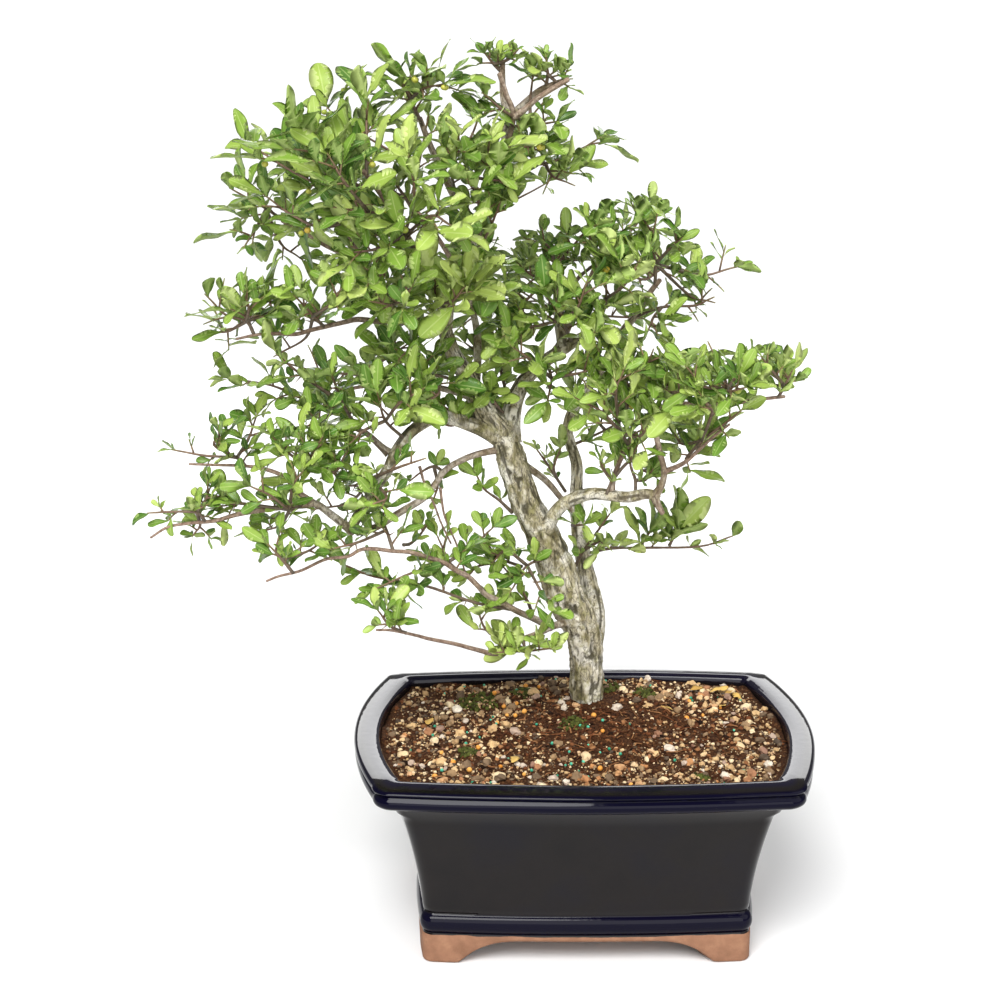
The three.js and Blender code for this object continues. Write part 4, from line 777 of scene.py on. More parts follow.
sprays = {
    "crown_far_left": newSpray(17, 4, 17, [(-173, 45, 420), (-189, 46, 431), (-205, 42, 441)],
        [(-194, 34, 421), (-198, 28, 415)], [(-182, 56, 409), (-173, 60, 401)]),
    "crown_left_tip": newSpray(22, 5, 17,
        [(-122, -24, 454), (-143, -24, 451), (-166, -20, 460), (-186, -16, 472)],
        [(-153, -34, 473), (-159, -36, 485)]),
    "crown_top_left": newSpray(22, 4, 17, [(-125, -27, 459), (-125, -22, 478), (-125, -16, 495)],
        [(-139, 0, 483), (-147, 10, 491)]),
    "crown_top_mid": newSpray(18, 5, 17, [(-95, 26, 481), (-102, 20, 497), (-107, 14, 508)],
        [(-94, 4, 504), (-84, -4, 507)]),
    "apex_left": newSpray(11, 4, 10, [(-49, 44, 510), (-54, 42, 515), (-58, 40, 520)],
        [(-46, 38, 518), (-42, 36, 522)]),
    "apex_right": newSpray(12, 4, 11, [(-24, 37, 503), (-23, 32, 510), (-24, 28, 518)],
        [(-16, 30, 505), (-13, 26, 511)]),
    "apex_low": newSpray(14, 4, 17, [(-47, 46, 479), (-33, 30, 481), (-21, 18, 484)],
        [(-48, 8, 491), (-57, 2, 499)], [(-33, 36, 495), (-32, 40, 503)]),
    "crown_right": newSpray(21, 5, 17, [(-50, 43, 457), (-24, 42, 458), (-4, 40, 466), (4, 38, 471)],
        [(-20, 30, 452), (-12, 26, 449)], [(-39, 24, 468), (-31, 18, 471)]),
    "crown_front_mid": newSpray(17, 5, 17, [(-76, 28, 440), (-78, -2, 458), (-74, -30, 479)],
        [(-61, -14, 467), (-50, -18, 472)], [(-59, -20, 456), (-49, -24, 456)]),
    "crown_front_left": newSpray(20, 5, 17, [(-112, -16, 438), (-124, -30, 439), (-140, -42, 443)],
        [(-136, -48, 458), (-142, -50, 469)], [(-149, -26, 430), (-168, -18, 436), (-180, -14, 444)]),
    "crown_front": newSpray(18, 5, 17, [(-99, -1, 414), (-104, -22, 425), (-98, -36, 447), (-100, -50, 469)],
        [(-89, -44, 439), (-79, -50, 435)], [(-119, -32, 419), (-133, -34, 417)],
        [(-116, -32, 406), (-127, -34, 400)]),
    "crown_heart": newSpray(17, 5, 17, [(-72, 25, 403), (-62, 6, 415), (-55, 2, 429), (-51, -8, 441)],
        [(-63, -12, 443), (-68, -30, 455)], [(-63, 0, 401), (-56, -8, 394)]),
    "bright_centre": newSpray(22, 5, 17, [(-83, 20, 363), (-87, -4, 383), (-88, -16, 399)],
        [(-78, -20, 387), (-72, -26, 395)]),
    "crown_back_left": newSpray(16, 5, 17, [(-94, 106, 412), (-122, 118, 419), (-153, 120, 433)],
        [(-131, 129, 400), (-150, 131, 386)]),
    "crown_back_top": newSpray(16, 5, 17, [(-106, 114, 425), (-101, 120, 448), (-95, 112, 476)],
        [(-118, 104, 459), (-135, 98, 470)]),
    "crown_back_right": newSpray(16, 5, 17,
        [(-77, 89, 387), (-71, 100, 391), (-54, 108, 419), (-25, 104, 437)],
        [(-50, 118, 388), (-37, 122, 379)], [(-88, 110, 370), (-104, 124, 370)],
        [(-68, 118, 364), (-65, 126, 346)]),
    "crown_back_high": newSpray(15, 5, 17, [(-84, 28, 455), (-69, 64, 469), (-62, 78, 485)],
        [(-50, 84, 460), (-34, 90, 466)]),
    "crown_left_back": newSpray(16, 5, 17, [(-121, 28, 390), (-147, 72, 415), (-175, 84, 432)],
        [(-163, 66, 453), (-179, 58, 460)]),
    "bar_tip": newSpray(19, 4, 17, [(-191, -20, 368), (-195, -22, 376), (-206, -28, 381), (-213, -30, 389)],
        [(-192, -34, 386), (-193, -38, 392)], [(-183, -8, 379), (-184, -2, 386)],
        [(-205, -18, 370), (-212, -14, 368)]),
    "bar_mid": newSpray(15, 4, 17, [(-152, -8, 370), (-157, -20, 379), (-164, -32, 390)],
        [(-146, -36, 388), (-140, -42, 397)], [(-164, 6, 361), (-181, 20, 349)]),
    "bar_inner": newSpray(15, 4, 17, [(-117, 7, 371), (-120, 4, 378), (-132, 34, 381)],
        [(-119, 46, 377), (-114, 54, 385)], [(-112, -28, 386), (-121, -44, 391)],
        [(-105, -36, 391), (-101, -44, 398)]),
    "left_mid_twig": newSpray(16, 5, 17, [(-68, 25, 329), (-92, 8, 339), (-114, -8, 344), (-132, -16, 349)],
        [(-98, -8, 352), (-109, -16, 358)], [(-86, -4, 331), (-95, -10, 326)]),
    "left_mid_front": newSpray(15, 5, 17, [(-134, 5, 306), (-142, -6, 324), (-146, -22, 342)],
        [(-164, 0, 326), (-184, 0, 334), (-204, -2, 338)], [(-166, -14, 344), (-175, -18, 353)],
        [(-154, -18, 317), (-159, -22, 316)]),
    "left_mid_low": newSpray(16, 4, 17, [(-107, 4, 301), (-117, -18, 317), (-120, -30, 333)],
        [(-108, -34, 331), (-97, -40, 339)], [(-129, -30, 314), (-135, -34, 309)]),
    "left_mid_back": newSpray(15, 5, 17,
        [(-126, 92, 315), (-138, 98, 319), (-166, 106, 320), (-181, 98, 326)],
        [(-159, 112, 301), (-168, 116, 290)], [(-118, 96, 333), (-110, 92, 339)]),
    "far_left_tip": newSpray(10, 4, 10,
        [(-220, -43, 264), (-224, -46, 270), (-238, -48, 271), (-248, -50, 271)],
        [(-220, -38, 275), (-218, -34, 280)], [(-224, -34, 259), (-228, -30, 253)]),
    "far_left_near": newSpray(12, 4, 13,
        [(-166, -32, 270), (-171, -44, 271), (-181, -50, 281), (-190, -52, 286)],
        [(-168, -56, 288), (-163, -60, 296)], [(-178, -30, 258), (-187, -24, 253)],
        [(-201, -34, 272), (-210, -32, 270)]),
    "left_b_tip": newSpray(11, 4, 11,
        [(-199, -17, 290), (-204, -14, 294), (-222, -13, 295), (-238, -13, 298)],
        [(-198, -6, 303), (-194, -2, 314)], [(-216, -22, 304), (-209, -24, 311)]),
    "left_b_near": newSpray(13, 5, 15, [(-167, -26, 276), (-161, -38, 296), (-153, -44, 311)],
        [(-171, -43, 304), (-177, -47, 312)], [(-146, -36, 291), (-140, -34, 300)]),
    "elbow_up": newSpray(14, 4, 14, [(-123, -9, 276), (-126, -20, 283), (-138, -10, 276), (-147, 4, 279)],
        [(-110, -30, 292), (-97, -36, 298)], [(-116, -38, 277), (-123, -42, 274)],
        [(-140, 8, 261), (-159, 16, 255)]),
    "fan_tip": newSpray(12, 4, 13, [(-169, -54, 236), (-175, -56, 245), (-181, -56, 252)],
        [(-162, -48, 247), (-154, -44, 251)]),
    "fan_high": newSpray(13, 4, 14, [(-113, -30, 242), (-117, -24, 253), (-121, -20, 263)],
        [(-132, -38, 250), (-144, -46, 249)]),
    "fan_low": newSpray(13, 4, 13, [(-75, -12, 224), (-81, -2, 227), (-87, 8, 237)],
        [(-66, 10, 234), (-57, 12, 242)], [(-103, -22, 226), (-122, -28, 219)]),
    "fan_shoot": newSpray(12, 8, 7,
        [(-41, 11, 192), (-66, 2, 200), (-96, -8, 214), (-125, -16, 222), (-141, -20, 230)]),
    "lowest_tip": newSpray(11, 4, 9, [(-106, -31, 192), (-115, -36, 198), (-121, -38, 207)],
        [(-110, -30, 205), (-114, -28, 211)]),
    "base_bright": newSpray(13, 4, 12, [(-37, 14, 173), (-34, 4, 169), (-22, -8, 174)],
        [(-43, -2, 170), (-51, -6, 171)], [(-57, 6, 179), (-64, 8, 192)]),
    "inner_shoot": newSpray(13, 4, 12, [(-18, 40, 217), (-34, 22, 217), (-43, 8, 207)],
        [(-27, 4, 208), (-21, -2, 199)], [(-47, 14, 229), (-54, 16, 222)]),
    "right_crown_top": newSpray(17, 5, 17, [(-17, 58, 381), (-17, 56, 394), (-7, 54, 407), (5, 48, 423)],
        [(-21, 62, 406), (-31, 66, 409)], [(-29, 42, 391), (-39, 36, 399)],
        [(-33, 24, 382), (-39, 18, 378)]),
    "right_crown_mid": newSpray(15, 5, 17, [(-2, 52, 390), (11, 42, 403), (23, 38, 418)],
        [(3, 28, 414), (1, 24, 423)]),
    "right_crown_far": newSpray(16, 4, 17, [(43, 55, 383), (43, 52, 397), (40, 48, 411), (42, 46, 423)],
        [(51, 36, 410), (55, 30, 415)], [(70, 58, 389), (89, 60, 393)], [(65, 60, 376), (75, 62, 373)]),
    "right_crown_low": newSpray(17, 4, 12, [(31, 60, 363), (47, 50, 371), (66, 44, 373), (74, 42, 377)],
        [(40, 34, 366), (42, 30, 361)]),
    "right_crown_front": newSpray(18, 5, 17, [(10, 49, 362), (12, 24, 381), (10, 12, 400)],
        [(21, 8, 391), (28, 6, 403)], [(1, 14, 364), (5, 8, 357)]),
    "right_crown_heart": newSpray(16, 5, 17, [(-7, 46, 350), (-14, 20, 369), (-23, 8, 384)],
        [(-6, 2, 379), (-2, -4, 392)], [(-32, 10, 367), (-44, 6, 370)]),
    "right_back_top": newSpray(15, 5, 17, [(6, 98, 381), (16, 108, 392), (15, 120, 419)],
        [(34, 112, 411), (41, 108, 422)], [(38, 104, 379), (50, 108, 384)],
        [(-11, 116, 389), (-25, 118, 390)]),
    "right_back_low": newSpray(15, 5, 17, [(-8, 68, 356), (-15, 88, 361), (-33, 98, 370)],
        [(13, 104, 356), (36, 112, 353)]),
    "pad_tip": newSpray(14, 4, 11, [(110, -13, 329), (114, -12, 336), (117, -12, 343)],
        [(105, -24, 347), (99, -30, 355)], [(104, 4, 334), (100, 8, 339)]),
    "pad_mid": newSpray(18, 4, 15, [(85, -11, 325), (81, -14, 335), (78, 2, 344), (73, 6, 354)],
        [(92, 12, 343), (97, 16, 348)], [(65, -32, 340), (56, -40, 351)], [(79, -40, 339), (85, -46, 342)]),
    "pad_near": newSpray(17, 5, 15, [(44, -6, 320), (47, 6, 328), (50, 14, 341)],
        [(58, 24, 332), (68, 28, 339)], [(51, -20, 334), (54, -31, 337)]),
    "pad_low": newSpray(15, 4, 13, [(65, -12, 298), (67, -10, 303), (78, -24, 316), (85, -30, 324)],
        [(70, -34, 326), (65, -38, 329)], [(59, 2, 289), (64, 6, 290)], [(58, 14, 295), (53, 16, 302)]),
    "pad_back": newSpray(15, 5, 17, [(7, 75, 320), (38, 92, 319), (69, 96, 323)],
        [(41, 105, 302), (61, 107, 293)]),
    "mid_top": newSpray(15, 5, 17, [(25, 14, 314), (23, 18, 328), (17, 14, 344)],
        [(34, 6, 340), (37, 0, 351)]),
    "mid_left": newSpray(16, 5, 17, [(26, 17, 294), (20, 4, 305), (9, 0, 318), (-4, -10, 327)],
        [(16, -16, 333), (19, -20, 344)], [(31, -4, 304), (37, -10, 315)]),
    "fork_under": newSpray(15, 4, 17, [(-23, 43, 340), (-20, 24, 333), (-22, 10, 325)],
        [(-7, 12, 338), (2, 8, 341)], [(-33, 6, 348), (-41, 0, 355)]),
    "mid_back": newSpray(15, 5, 17, [(-6, 82, 277), (17, 104, 282), (38, 114, 292)],
        [(4, 112, 295), (0, 116, 304)]),
    "low_shoot": newSpray(14, 6, 5,
        [(3, 72, 209), (20, 68, 214), (40, 66, 215), (75, 62, 217), (94, 60, 224)]),
}


# The wood: trunk, second stem and limbs, with rough bark that is finer on the younger limbs

wood = {
    "ringGap": 1.4, "trunkSides": 52, "stemSides": 30, "limbSides": 14, "ridge": 0.105,
    "flare": 0.42, "flareReach": 9.0,  # each limb swells where it leaves its parent
    "rootFlare": 0.1, "rootTop": 42.0, "rootReach": 12.0,  # and the trunk where its roots start
    # widths as shares of the radii above: the trunk's at some heights, then that of the limbs, fuller in two
    "trunkHeights": (112, 135, 165, 190, 260), "trunkWidths": (0.68, 0.71, 0.82, 0.99, 1.0),
    "slim": 0.9, "fuller": {"low_right": 0.25, "left_main": 0.1},
    # the trunk and the second stem stand this much further left at their foot, fading out between two heights
    "leftShift": 1.8, "shiftFrom": 175, "shiftTo": 235,
    # knots 1 mm high where limbs were cut away: where each is, which way it faces, and its radius
    "knots": [((-15, 38, 218), (-13, -6, 5), 2.6), ((-97, 26, 484), (3, -3, 14), 1.9),
              ((-88, 27, 462), (13, -2, 7), 1.7)],
}


def makeWood(materials):
    p = wood
    shape = Shape()
    for number, (name, (radii, route)) in enumerate(limbs.items()):
        route = np.array(route, float)
        length = np.linalg.norm(np.diff(route, axis=0), axis=1).sum()
        share = np.linspace(0, 1, max(int(length / p["ringGap"]), 8) + 1)
        places, _ = catmull(route, share)
        radius = np.interp(share, np.linspace(0, 1, len(radii)), radii)
        along = share * length
        thick = radius.max()
        sides = p["trunkSides"] if thick > 10 else p["stemSides"] if thick > 5.5 else p["limbSides"]
        turn = np.arange(sides) / sides * 2 * np.pi
        ring = np.stack(np.broadcast_arrays(np.cos(turn) * 4, np.sin(turn) * 4, along[:, None] / 9), axis=-1)
        # long ridges wander round the limb, broken by knots, short cracks and a few deep fissures
        ridges = noise(ring * [1.0, 1.0, 0.7], 1.0, number) - 0.5
        cracks = noise(ring * [3.1, 3.1, 3.4], 1.0, number + 40) - 0.5
        swells = noise(ring * [0.25, 0.25, 0.5], 1.0, number + 80) - 0.5
        deep = np.abs(noise(ring * [0.8, 0.8, 0.38], 1.0, number + 120) - 0.5)
        fissure = -smoothstep(0.06, 0.0, deep)
        rough = smoothstep(1.2, 8.0, radius)[:, None] * p["ridge"]
        if name == "trunk":
            width = np.interp(places[:, 2], p["trunkHeights"], p["trunkWidths"])
        else:
            width = p["slim"] + p["fuller"].get(name, 0)
        relief = rough * (1.6 * ridges + 1.5 * cracks + 1.1 * fissure)
        skin = (radius * width)[:, None] * (1 + relief + 0.14 * swells)
        if name in ("trunk", "second_stem"):
            places[:, 0] -= p["leftShift"] * smoothstep(p["shiftTo"], p["shiftFrom"], places[:, 2])
        else:
            skin *= 1 + p["flare"] * np.exp(-along / p["flareReach"])[:, None]
        if name == "trunk":
            foot = np.exp(-np.maximum(along - p["rootTop"], 0) / p["rootReach"])[:, None]
            lobes = 0.55 + 0.45 * np.cos(3 * turn + 0.6) + 0.35 * np.cos(5 * turn)
            skin *= 1 + p["rootFlare"] * foot * lobes
        crack = 0.6 * ridges + 0.6 * cracks + 0.5 * fissure
        tube(shape, places, skin, sides, age=smoothstep(1.0, 3.4, radius), crack=crack)
    for spot, aim, radius in p["knots"]:
        route = np.array(spot, float) + unit(np.array(aim, float)) * np.array([0, 0.5, 0.9, 1.0])[:, None]
        tube(shape, route, np.array([1.25, 1.05, 1.0, 0.8]) * radius, 10, age=np.full(4, 0.9),
             crack=np.array([0, 0, 0.3, 0.6]))
    shape.make("barkedWood", materials, ("trunk",))


def barkMaterial():
    # smooth grey-brown bark with pale patches and olive patches of algae, darker olive-brown down its cracks,
    # red-brown where it is young
    material, tree, shader, place = newMaterial("firethornBark")
    patches = grain(tree, place, 16.0, 5.0, 0.55)
    fine = grain(tree, place, 2.2, 4.0, 0.65)
    streaks = grain(tree, place, 5.5, 5.0, 0.6, (1.0, 1.0, 0.34))
    tone = ramp(tree, streaks, [(0.32, "#5f5636"), (0.43, "#8b8262"), (0.53, "#b3aa90"), (0.66, "#d5cfbe")])
    pale = ramp(tree, patches, [(0.5, "#000000"), (0.58, "#ffffff")])
    tone = blend(tree, times(tree, pale, 0.75), tone, linear("#dfdacd"))
    green = ramp(tree, grain(tree, place, 6.0, 4.0, 0.7), [(0.52, "#000000"), (0.62, "#ffffff")])
    tone = blend(tree, times(tree, green, 0.5), tone, linear("#7d7a42"))
    # darker olive-brown where the wood's relief dips into cracks and fissures
    dark = sums(tree, "MULTIPLY", sums(tree, "SUBTRACT", -0.03, named(tree, "crack")), 3.4, clamp=True)
    tone = blend(tree, times(tree, dark, 0.85), tone, linear("#363019"))
    # thin dark cracks round the flakes of bark
    flakes = grain(tree, place, 6.5, 3.0, 0.6, (1.0, 1.0, 0.45))
    lines = ramp(tree, flakes, [(0.44, "#000000"), (0.465, "#ffffff"), (0.49, "#000000"), (0.54, "#000000"),
                                (0.56, "#ffffff"), (0.58, "#000000")])
    tone = blend(tree, times(tree, lines, 0.64), tone, linear("#3d3722"))
    young = ramp(tree, fine, [(0.3, "#5c4537"), (0.5, "#846c5b"), (0.75, "#a89280")])
    coat(tree, shader, blend(tree, named(tree, "age"), young, tone), 0.82)
    height = sums(tree, "ADD", streaks, times(tree, fine, 0.6))
    bump(tree, shader, sums(tree, "SUBTRACT", height, times(tree, lines, 0.35)), 1.2, 0.9)
    return material


# The leafy sprays: each has a stem, forks and side shoots, with leaves turned round each shoot

leaf = {
    "breadth": 0.43, "thick": 0.28, "droop": 0.13, "fold": 0.16, "petiole": 0.05, "stations": 11,
    "grow": 1.24, "crownMiddle": (-60.0, 35.0, 330.0),
}
twig = {
    "radius": 1.15, "tip": 0.55, "shoot": [0.66, 0.6, 0.52, 0.45, 0.36], "thorn": 7.5, "thornShare": 0.13,
    "berry": 2.1,
}
# open air that shows between the leaves in the photograph, as circles (x, z, radius) on the plane y = 35
clearingPlane = 35.0
clearings = np.array([
    (-48, 419, 8), (-36, 429, 10), (-21, 434, 9), (-4, 443, 8), (15, 447, 8), (63, 357, 10), (82, 360, 12),
    (40, 350, 5), (103, 365, 14), (-213, 401, 12), (-195, 394, 5), (-178, 393, 4), (-170, 350, 7),
    (-149, 353, 5), (-191, 347, 7), (-209, 341, 8), (-177, 308, 7), (-120, 298, 7), (-102, 277, 8),
    (-65, 163, 8), (-166, 504, 9), (-183, 494, 7), (-149, 510, 6), (-108, 532, 9), (-93, 529, 8),
    (-45, 537, 7), (1, 518, 9), (26, 483, 7), (31, 449, 7), (50, 443, 7), (68, 429, 8), (-234, 384, 10),
    (-239, 351, 7), (-155, 210, 6), (19, 215, 6), (-51, 146, 7), (-196, 490, 7), (-216, 472, 7),
    (-59, 536, 7), (-18, 531, 8), (-36, 533, 7), (-172, 497, 6), (-222, 451, 9), (-212, 419, 6),
    (-195, 398, 7), (-234, 362, 7), (-228, 327, 7), (-240, 302, 7), (-268, 252, 6), (-48, 504, 7),
    (-42, 494, 6), (-30, 499, 6), (-20, 504, 6), (-3, 481, 9), (14, 493, 7), (-33, 440, 8), (6, 443, 7),
    (-45, 414, 6), (86, 427, 9), (98, 411, 9), (82, 382, 8), (119, 361, 6), (142, 334, 8), (103, 288, 7),
    (105, 232, 6), (37, 212, 7), (-3, 509, 6), (62, 425, 7),
], float)


def leafGrid():
    # places on a leaf: u from its foot to its tip, v from its left margin through the midrib to its right
    u = np.sin(np.linspace(0, 1, leaf["stations"]) * np.pi / 2) ** 1.05
    v = np.array([-1, -0.55, 0, 0.55, 1.0])
    rows, across = len(u), len(v)
    top = gridFaces(rows, across, wrap=False)[:, ::-1]
    low = rows * across + gridFaces(rows, 3, wrap=False)
    # the underside has three points across and shares its margins with the upper side
    share = np.arange(rows * across + rows * 3)
    for row in range(rows):
        share[rows * across + row * 3] = row * across
        share[rows * across + row * 3 + 2] = row * across + across - 1
    allU = np.concatenate([np.repeat(u, across), np.repeat(u, 3)])
    allV = np.concatenate([np.tile(v, rows), np.tile([-1, 0, 1.0], rows)])
    under = np.concatenate([np.zeros(rows * across), np.tile([0, 1.0, 0], rows)])
    kept = np.unique(share)
    place = np.zeros(len(share), int)
    place[kept] = np.arange(len(kept))
    return allU[kept], allV[kept], under[kept], place[top], place[share[low]]


gridU, gridV, gridUnder, topFaces, lowFaces = leafGrid()


def addLeaves(shape, base, along, normal, length, seed, tint, slot):
    # Each leaf is a strip whose half width rises from a thin stalk to a broad place near its round end. The
    # blade arches down along its length, folds up from its midrib and twists a little.
    side = np.cross(normal, along)
    oval = draw(seed, 61)[:, None]
    stalk = leaf["petiole"]
    s = np.clip((gridU - stalk) / (1 - stalk), 0, 1)[None]
    broad = s**1.1 * (1 - s**4) ** 0.5 / 0.6
    even = np.sin(np.pi * s**0.95) ** 0.95
    width = broad * (0.8 - 0.65 * oval) + even * (0.2 + 0.65 * oval)
    narrow = leaf["breadth"] * (0.85 + 0.35 * draw(seed, 62))[:, None]
    half = 0.5 * length[:, None] * narrow * width + 0.35
    half = np.where(gridU[None] >= 1, 0.12, half)
    drop = leaf["droop"] * (0.3 + 1.5 * draw(seed, 63))[:, None]
    fold = leaf["fold"] * (0.3 + 1.6 * draw(seed, 64))[:, None]
    twist = (draw(seed, 65) - 0.5)[:, None] * 0.9 * gridU[None]
    ripple = 0.035 * np.sin(gridU[None] * 9 + draw(seed, 66)[:, None] * 6) * np.abs(gridV)
    up = (np.abs(gridV) ** 1.4 * fold * half + ripple * length[:, None] - drop * length[:, None] * gridU**2
          - gridUnder * leaf["thick"])
    across = gridV * half
    across, up = across * np.cos(twist) - up * np.sin(twist) * 0.3, up + across * np.sin(twist)
    points = (base[:, None] + along[:, None] * (gridU * length[:, None])[..., None]
              + side[:, None] * across[..., None] + normal[:, None] * up[..., None])
    count, size = len(base), len(gridU)
    start = (np.arange(count) * size)[:, None, None]
    first = shape.add(points, (topFaces[None] + start).reshape(-1, 4), slot, leafAlong=np.tile(gridU, count),
                      leafAcross=np.tile(gridV, count), tint=np.repeat(tint, size))
    shape.addFaces((lowFaces[None] + start).reshape(-1, 4), first, slot + 1)


def shootLeaves(foot, direction, length, leafLength, seed):
    # the leaves of one shoot: where each starts, the way it points, the way it faces, how long it is, its
    # seed and how young it is
    count = 3 + int(draw(seed, 57) * 3)
    j = np.arange(count)
    side = unit(np.cross(direction, [0.3, 0.2, 1.0]))
    lift = np.cross(side, direction)
    share = (j + 1) / count
    turn = j * goldenAngle + draw(seed, j) * 0.8
    slant = np.radians(75 - 45 * share + 20 * (draw(seed, j + 11) - 0.5))[:, None]
    base = foot + direction * (length * (0.3 + 0.58 * share))[:, None]
    aside = np.cos(turn)[:, None] * side + np.sin(turn)[:, None] * lift
    along = unit(direction * np.cos(slant) + np.sin(slant) * aside + [0, 0, 0.34])
    # a leaf faces outwards and up, with a draw of its own
    outward = unit((base - leaf["crownMiddle"]) * [1, 1, 0.3])
    normal = 1.1 * (np.stack([draw(seed, j + 21), draw(seed, j + 22), draw(seed, j + 23)], axis=1) - 0.5)
    normal = normal + 0.65 * outward + [0, 0, 0.8]
    normal = unit(normal - along * (normal * along).sum(axis=1, keepdims=True))
    size = leafLength * leaf["grow"] * np.where(j < 2, 0.75, 1.0) * (0.62 + 0.62 * draw(seed, j + 41))
    young = 0.12 + 0.6 * draw(seed, j + 81) + 0.22 * share**2
    return base, along, normal, size, seed * 8.0 + j, young


def inClearing(points):
    # whether each point, seen from the photograph's eye, falls in open air
    share = (clearingPlane - photoEye[1]) / (points[:, 1] - photoEye[1])
    seen = photoEye + (points - photoEye) * share[:, None]
    away = np.hypot(seen[:, None, 0] - clearings[:, 0], seen[:, None, 2] - clearings[:, 1])
    return (away < clearings[:, 2]).any(axis=1)


def pruned(group):
    # a shoot's leaves without those that would fill a clearing, and shorter where only their tip would
    base, along, normal, size, seed, young = group
    full = size[:, None]
    kept = ~(inClearing(base) | inClearing(base + along * full * 0.5))
    size = np.where(inClearing(base + along * full), size * 0.72, size)
    return [part[kept] for part in (base, along, normal, size, seed, young)]


def growArm(shape, route, spray, number, groups):
    # a stem or fork with its side shoots, as twigs, and the leaves that they carry
    route = np.array(route, float)
    rings = 5 * (len(route) - 1)
    share = np.linspace(0, 1, rings + 1)
    places, _ = catmull(route, share)
    knobs = 1 + 0.16 * (draw(number, np.arange(rings + 1)) - 0.5)
    last, onward = (value[0] for value in catmull(route, [1.0]))
    endLength = spray["reach"] * 0.35
    line = np.vstack([places, last + onward * endLength * 0.6, last + onward * endLength])
    radius = np.concatenate([(twig["radius"] + (twig["tip"] - twig["radius"]) * share) * knobs, [0.5, 0.38]])
    tube(shape, line, radius, 6, tint=np.concatenate([share * 0.5, [0.6, 0.8]]))
    up = np.array([0, 0, 1.0])
    for k in range(spray["shoots"]):
        place = ((k + 0.6) / spray["shoots"]) * 0.9
        foot, tangent = (value[0] for value in catmull(route, [place]))
        side = unit(np.cross(tangent, up))
        lift = np.cross(side, tangent)
        turn = k * goldenAngle + draw(number, k) * 0.7
        direction = unit((side * np.cos(turn) + lift * np.sin(turn)) * 0.72 + tangent * 0.45 + up * 0.08)
        length = spray["reach"] * (0.35 + 0.75 * draw(number, k + 31))
        group = pruned(shootLeaves(foot, direction, length, spray["leaf"], number * 7 + k))
        # a shoot that has lost all its leaves is left out
        if len(group[0]) == 0:
            continue
        groups.append(group)
        reach = np.array([0, 0.3, 0.6, 0.85, 1.0])[:, None]
        bow = up * (np.sin(reach * 3.0) * length * 0.05)
        tube(shape, foot + direction * length * reach + bow, twig["shoot"], 5, tint=np.linspace(0.3, 1, 5))
        if draw(number, k + 71) < twig["thornShare"]:
            aim = unit(tangent * 0.2 - side * np.cos(turn) + lift * np.sin(turn))
            spike = twig["thorn"] * (0.6 + 0.6 * draw(number, k + 72))
            tube(shape, foot + aim * spike * np.array([0, 0.5, 0.98])[:, None], [0.55, 0.32, 0.06], 5,
                 tint=np.array([0.3, 0.5, 0.9]))
    groups.append(pruned(shootLeaves(last, onward, endLength, spray["leaf"], number * 7 + spray["shoots"])))


# sprays that carry a few unripe berries: how many on each
berries = {
    "crown_top_left": 5, "crown_left_tip": 4, "crown_top_mid": 3, "crown_right": 3, "mid_top": 2,
    "crown_front": 2, "right_crown_front": 3, "crown_front_left": 3, "pad_mid": 2,
}
# how much each spray's leaves are made lighter or darker: partly newer and older growth, partly painted light
# on sprays at the front and under the crown's shade, and painted shade on those at the back
sprayAgeAndPaintedLight = {
    "bright_centre": 0.4, "base_bright": 0.36, "crown_front": 0.16, "crown_front_mid": 0.16, "low_shoot": 0.2,
    "mid_left": 0.15, "mid_top": 0.15, "fork_under": 0.15, "right_crown_front": 0.1, "pad_mid": 0.1,
    "pad_near": 0.1, "pad_low": 0.12, "pad_tip": 0.08, "mid_back": -0.1, "pad_back": -0.15,
    "crown_back_left": -0.1, "lowest_tip": 0.1,
}


def growSpray(shape, spray, number, ageAndPaintedLight=0.0):
    # a stem with its forks and all their leaves, their tint moved lighter or darker by the last value: partly
    # for newer and older leaves, partly painted light and painted shade
    groups = []
    for arm in [spray["stem"]] + [[spray["stem"][1]] + fork for fork in spray["forks"]]:
        number += 1
        growArm(shape, arm, spray, number, groups)
    base, along, normal, size, seed, young = (np.concatenate(part) for part in zip(*groups))
    # the leaves' tint is their age plus the spray's painted light and shade
    addLeaves(shape, base, along, normal, size, seed, np.clip(young + ageAndPaintedLight, 0, 1), 1)
    return number, base


def makeSpray(name, spray, number, materials):
    # one spray, its arms numbered on from the one before; its berries hang by some of its leaves
    shape = Shape()
    number, base = growSpray(shape, spray, number, sprayAgeAndPaintedLight.get(name, 0))
    corners, faces = ball(1)
    for pick in range(berries.get(name, 0)):
        start = base[int(draw(number, pick + 5) * len(base))]
        middle = start + np.array([draw(pick, 1) - 0.5, draw(pick, 2) - 0.8, draw(pick, 3) - 0.7]) * 5
        shape.add(corners * [1, 1, 0.88] * twig["berry"] * (0.8 + 0.3 * draw(pick, 4)) + middle, faces, 3,
                  tint=draw(number, pick))
        tube(shape, np.linspace(start, middle, 4), [0.35, 0.3, 0.3, 0.3], 4, tint=np.full(4, 0.9))
    shape.make(name + "_spray", materials, (name,))
    return number


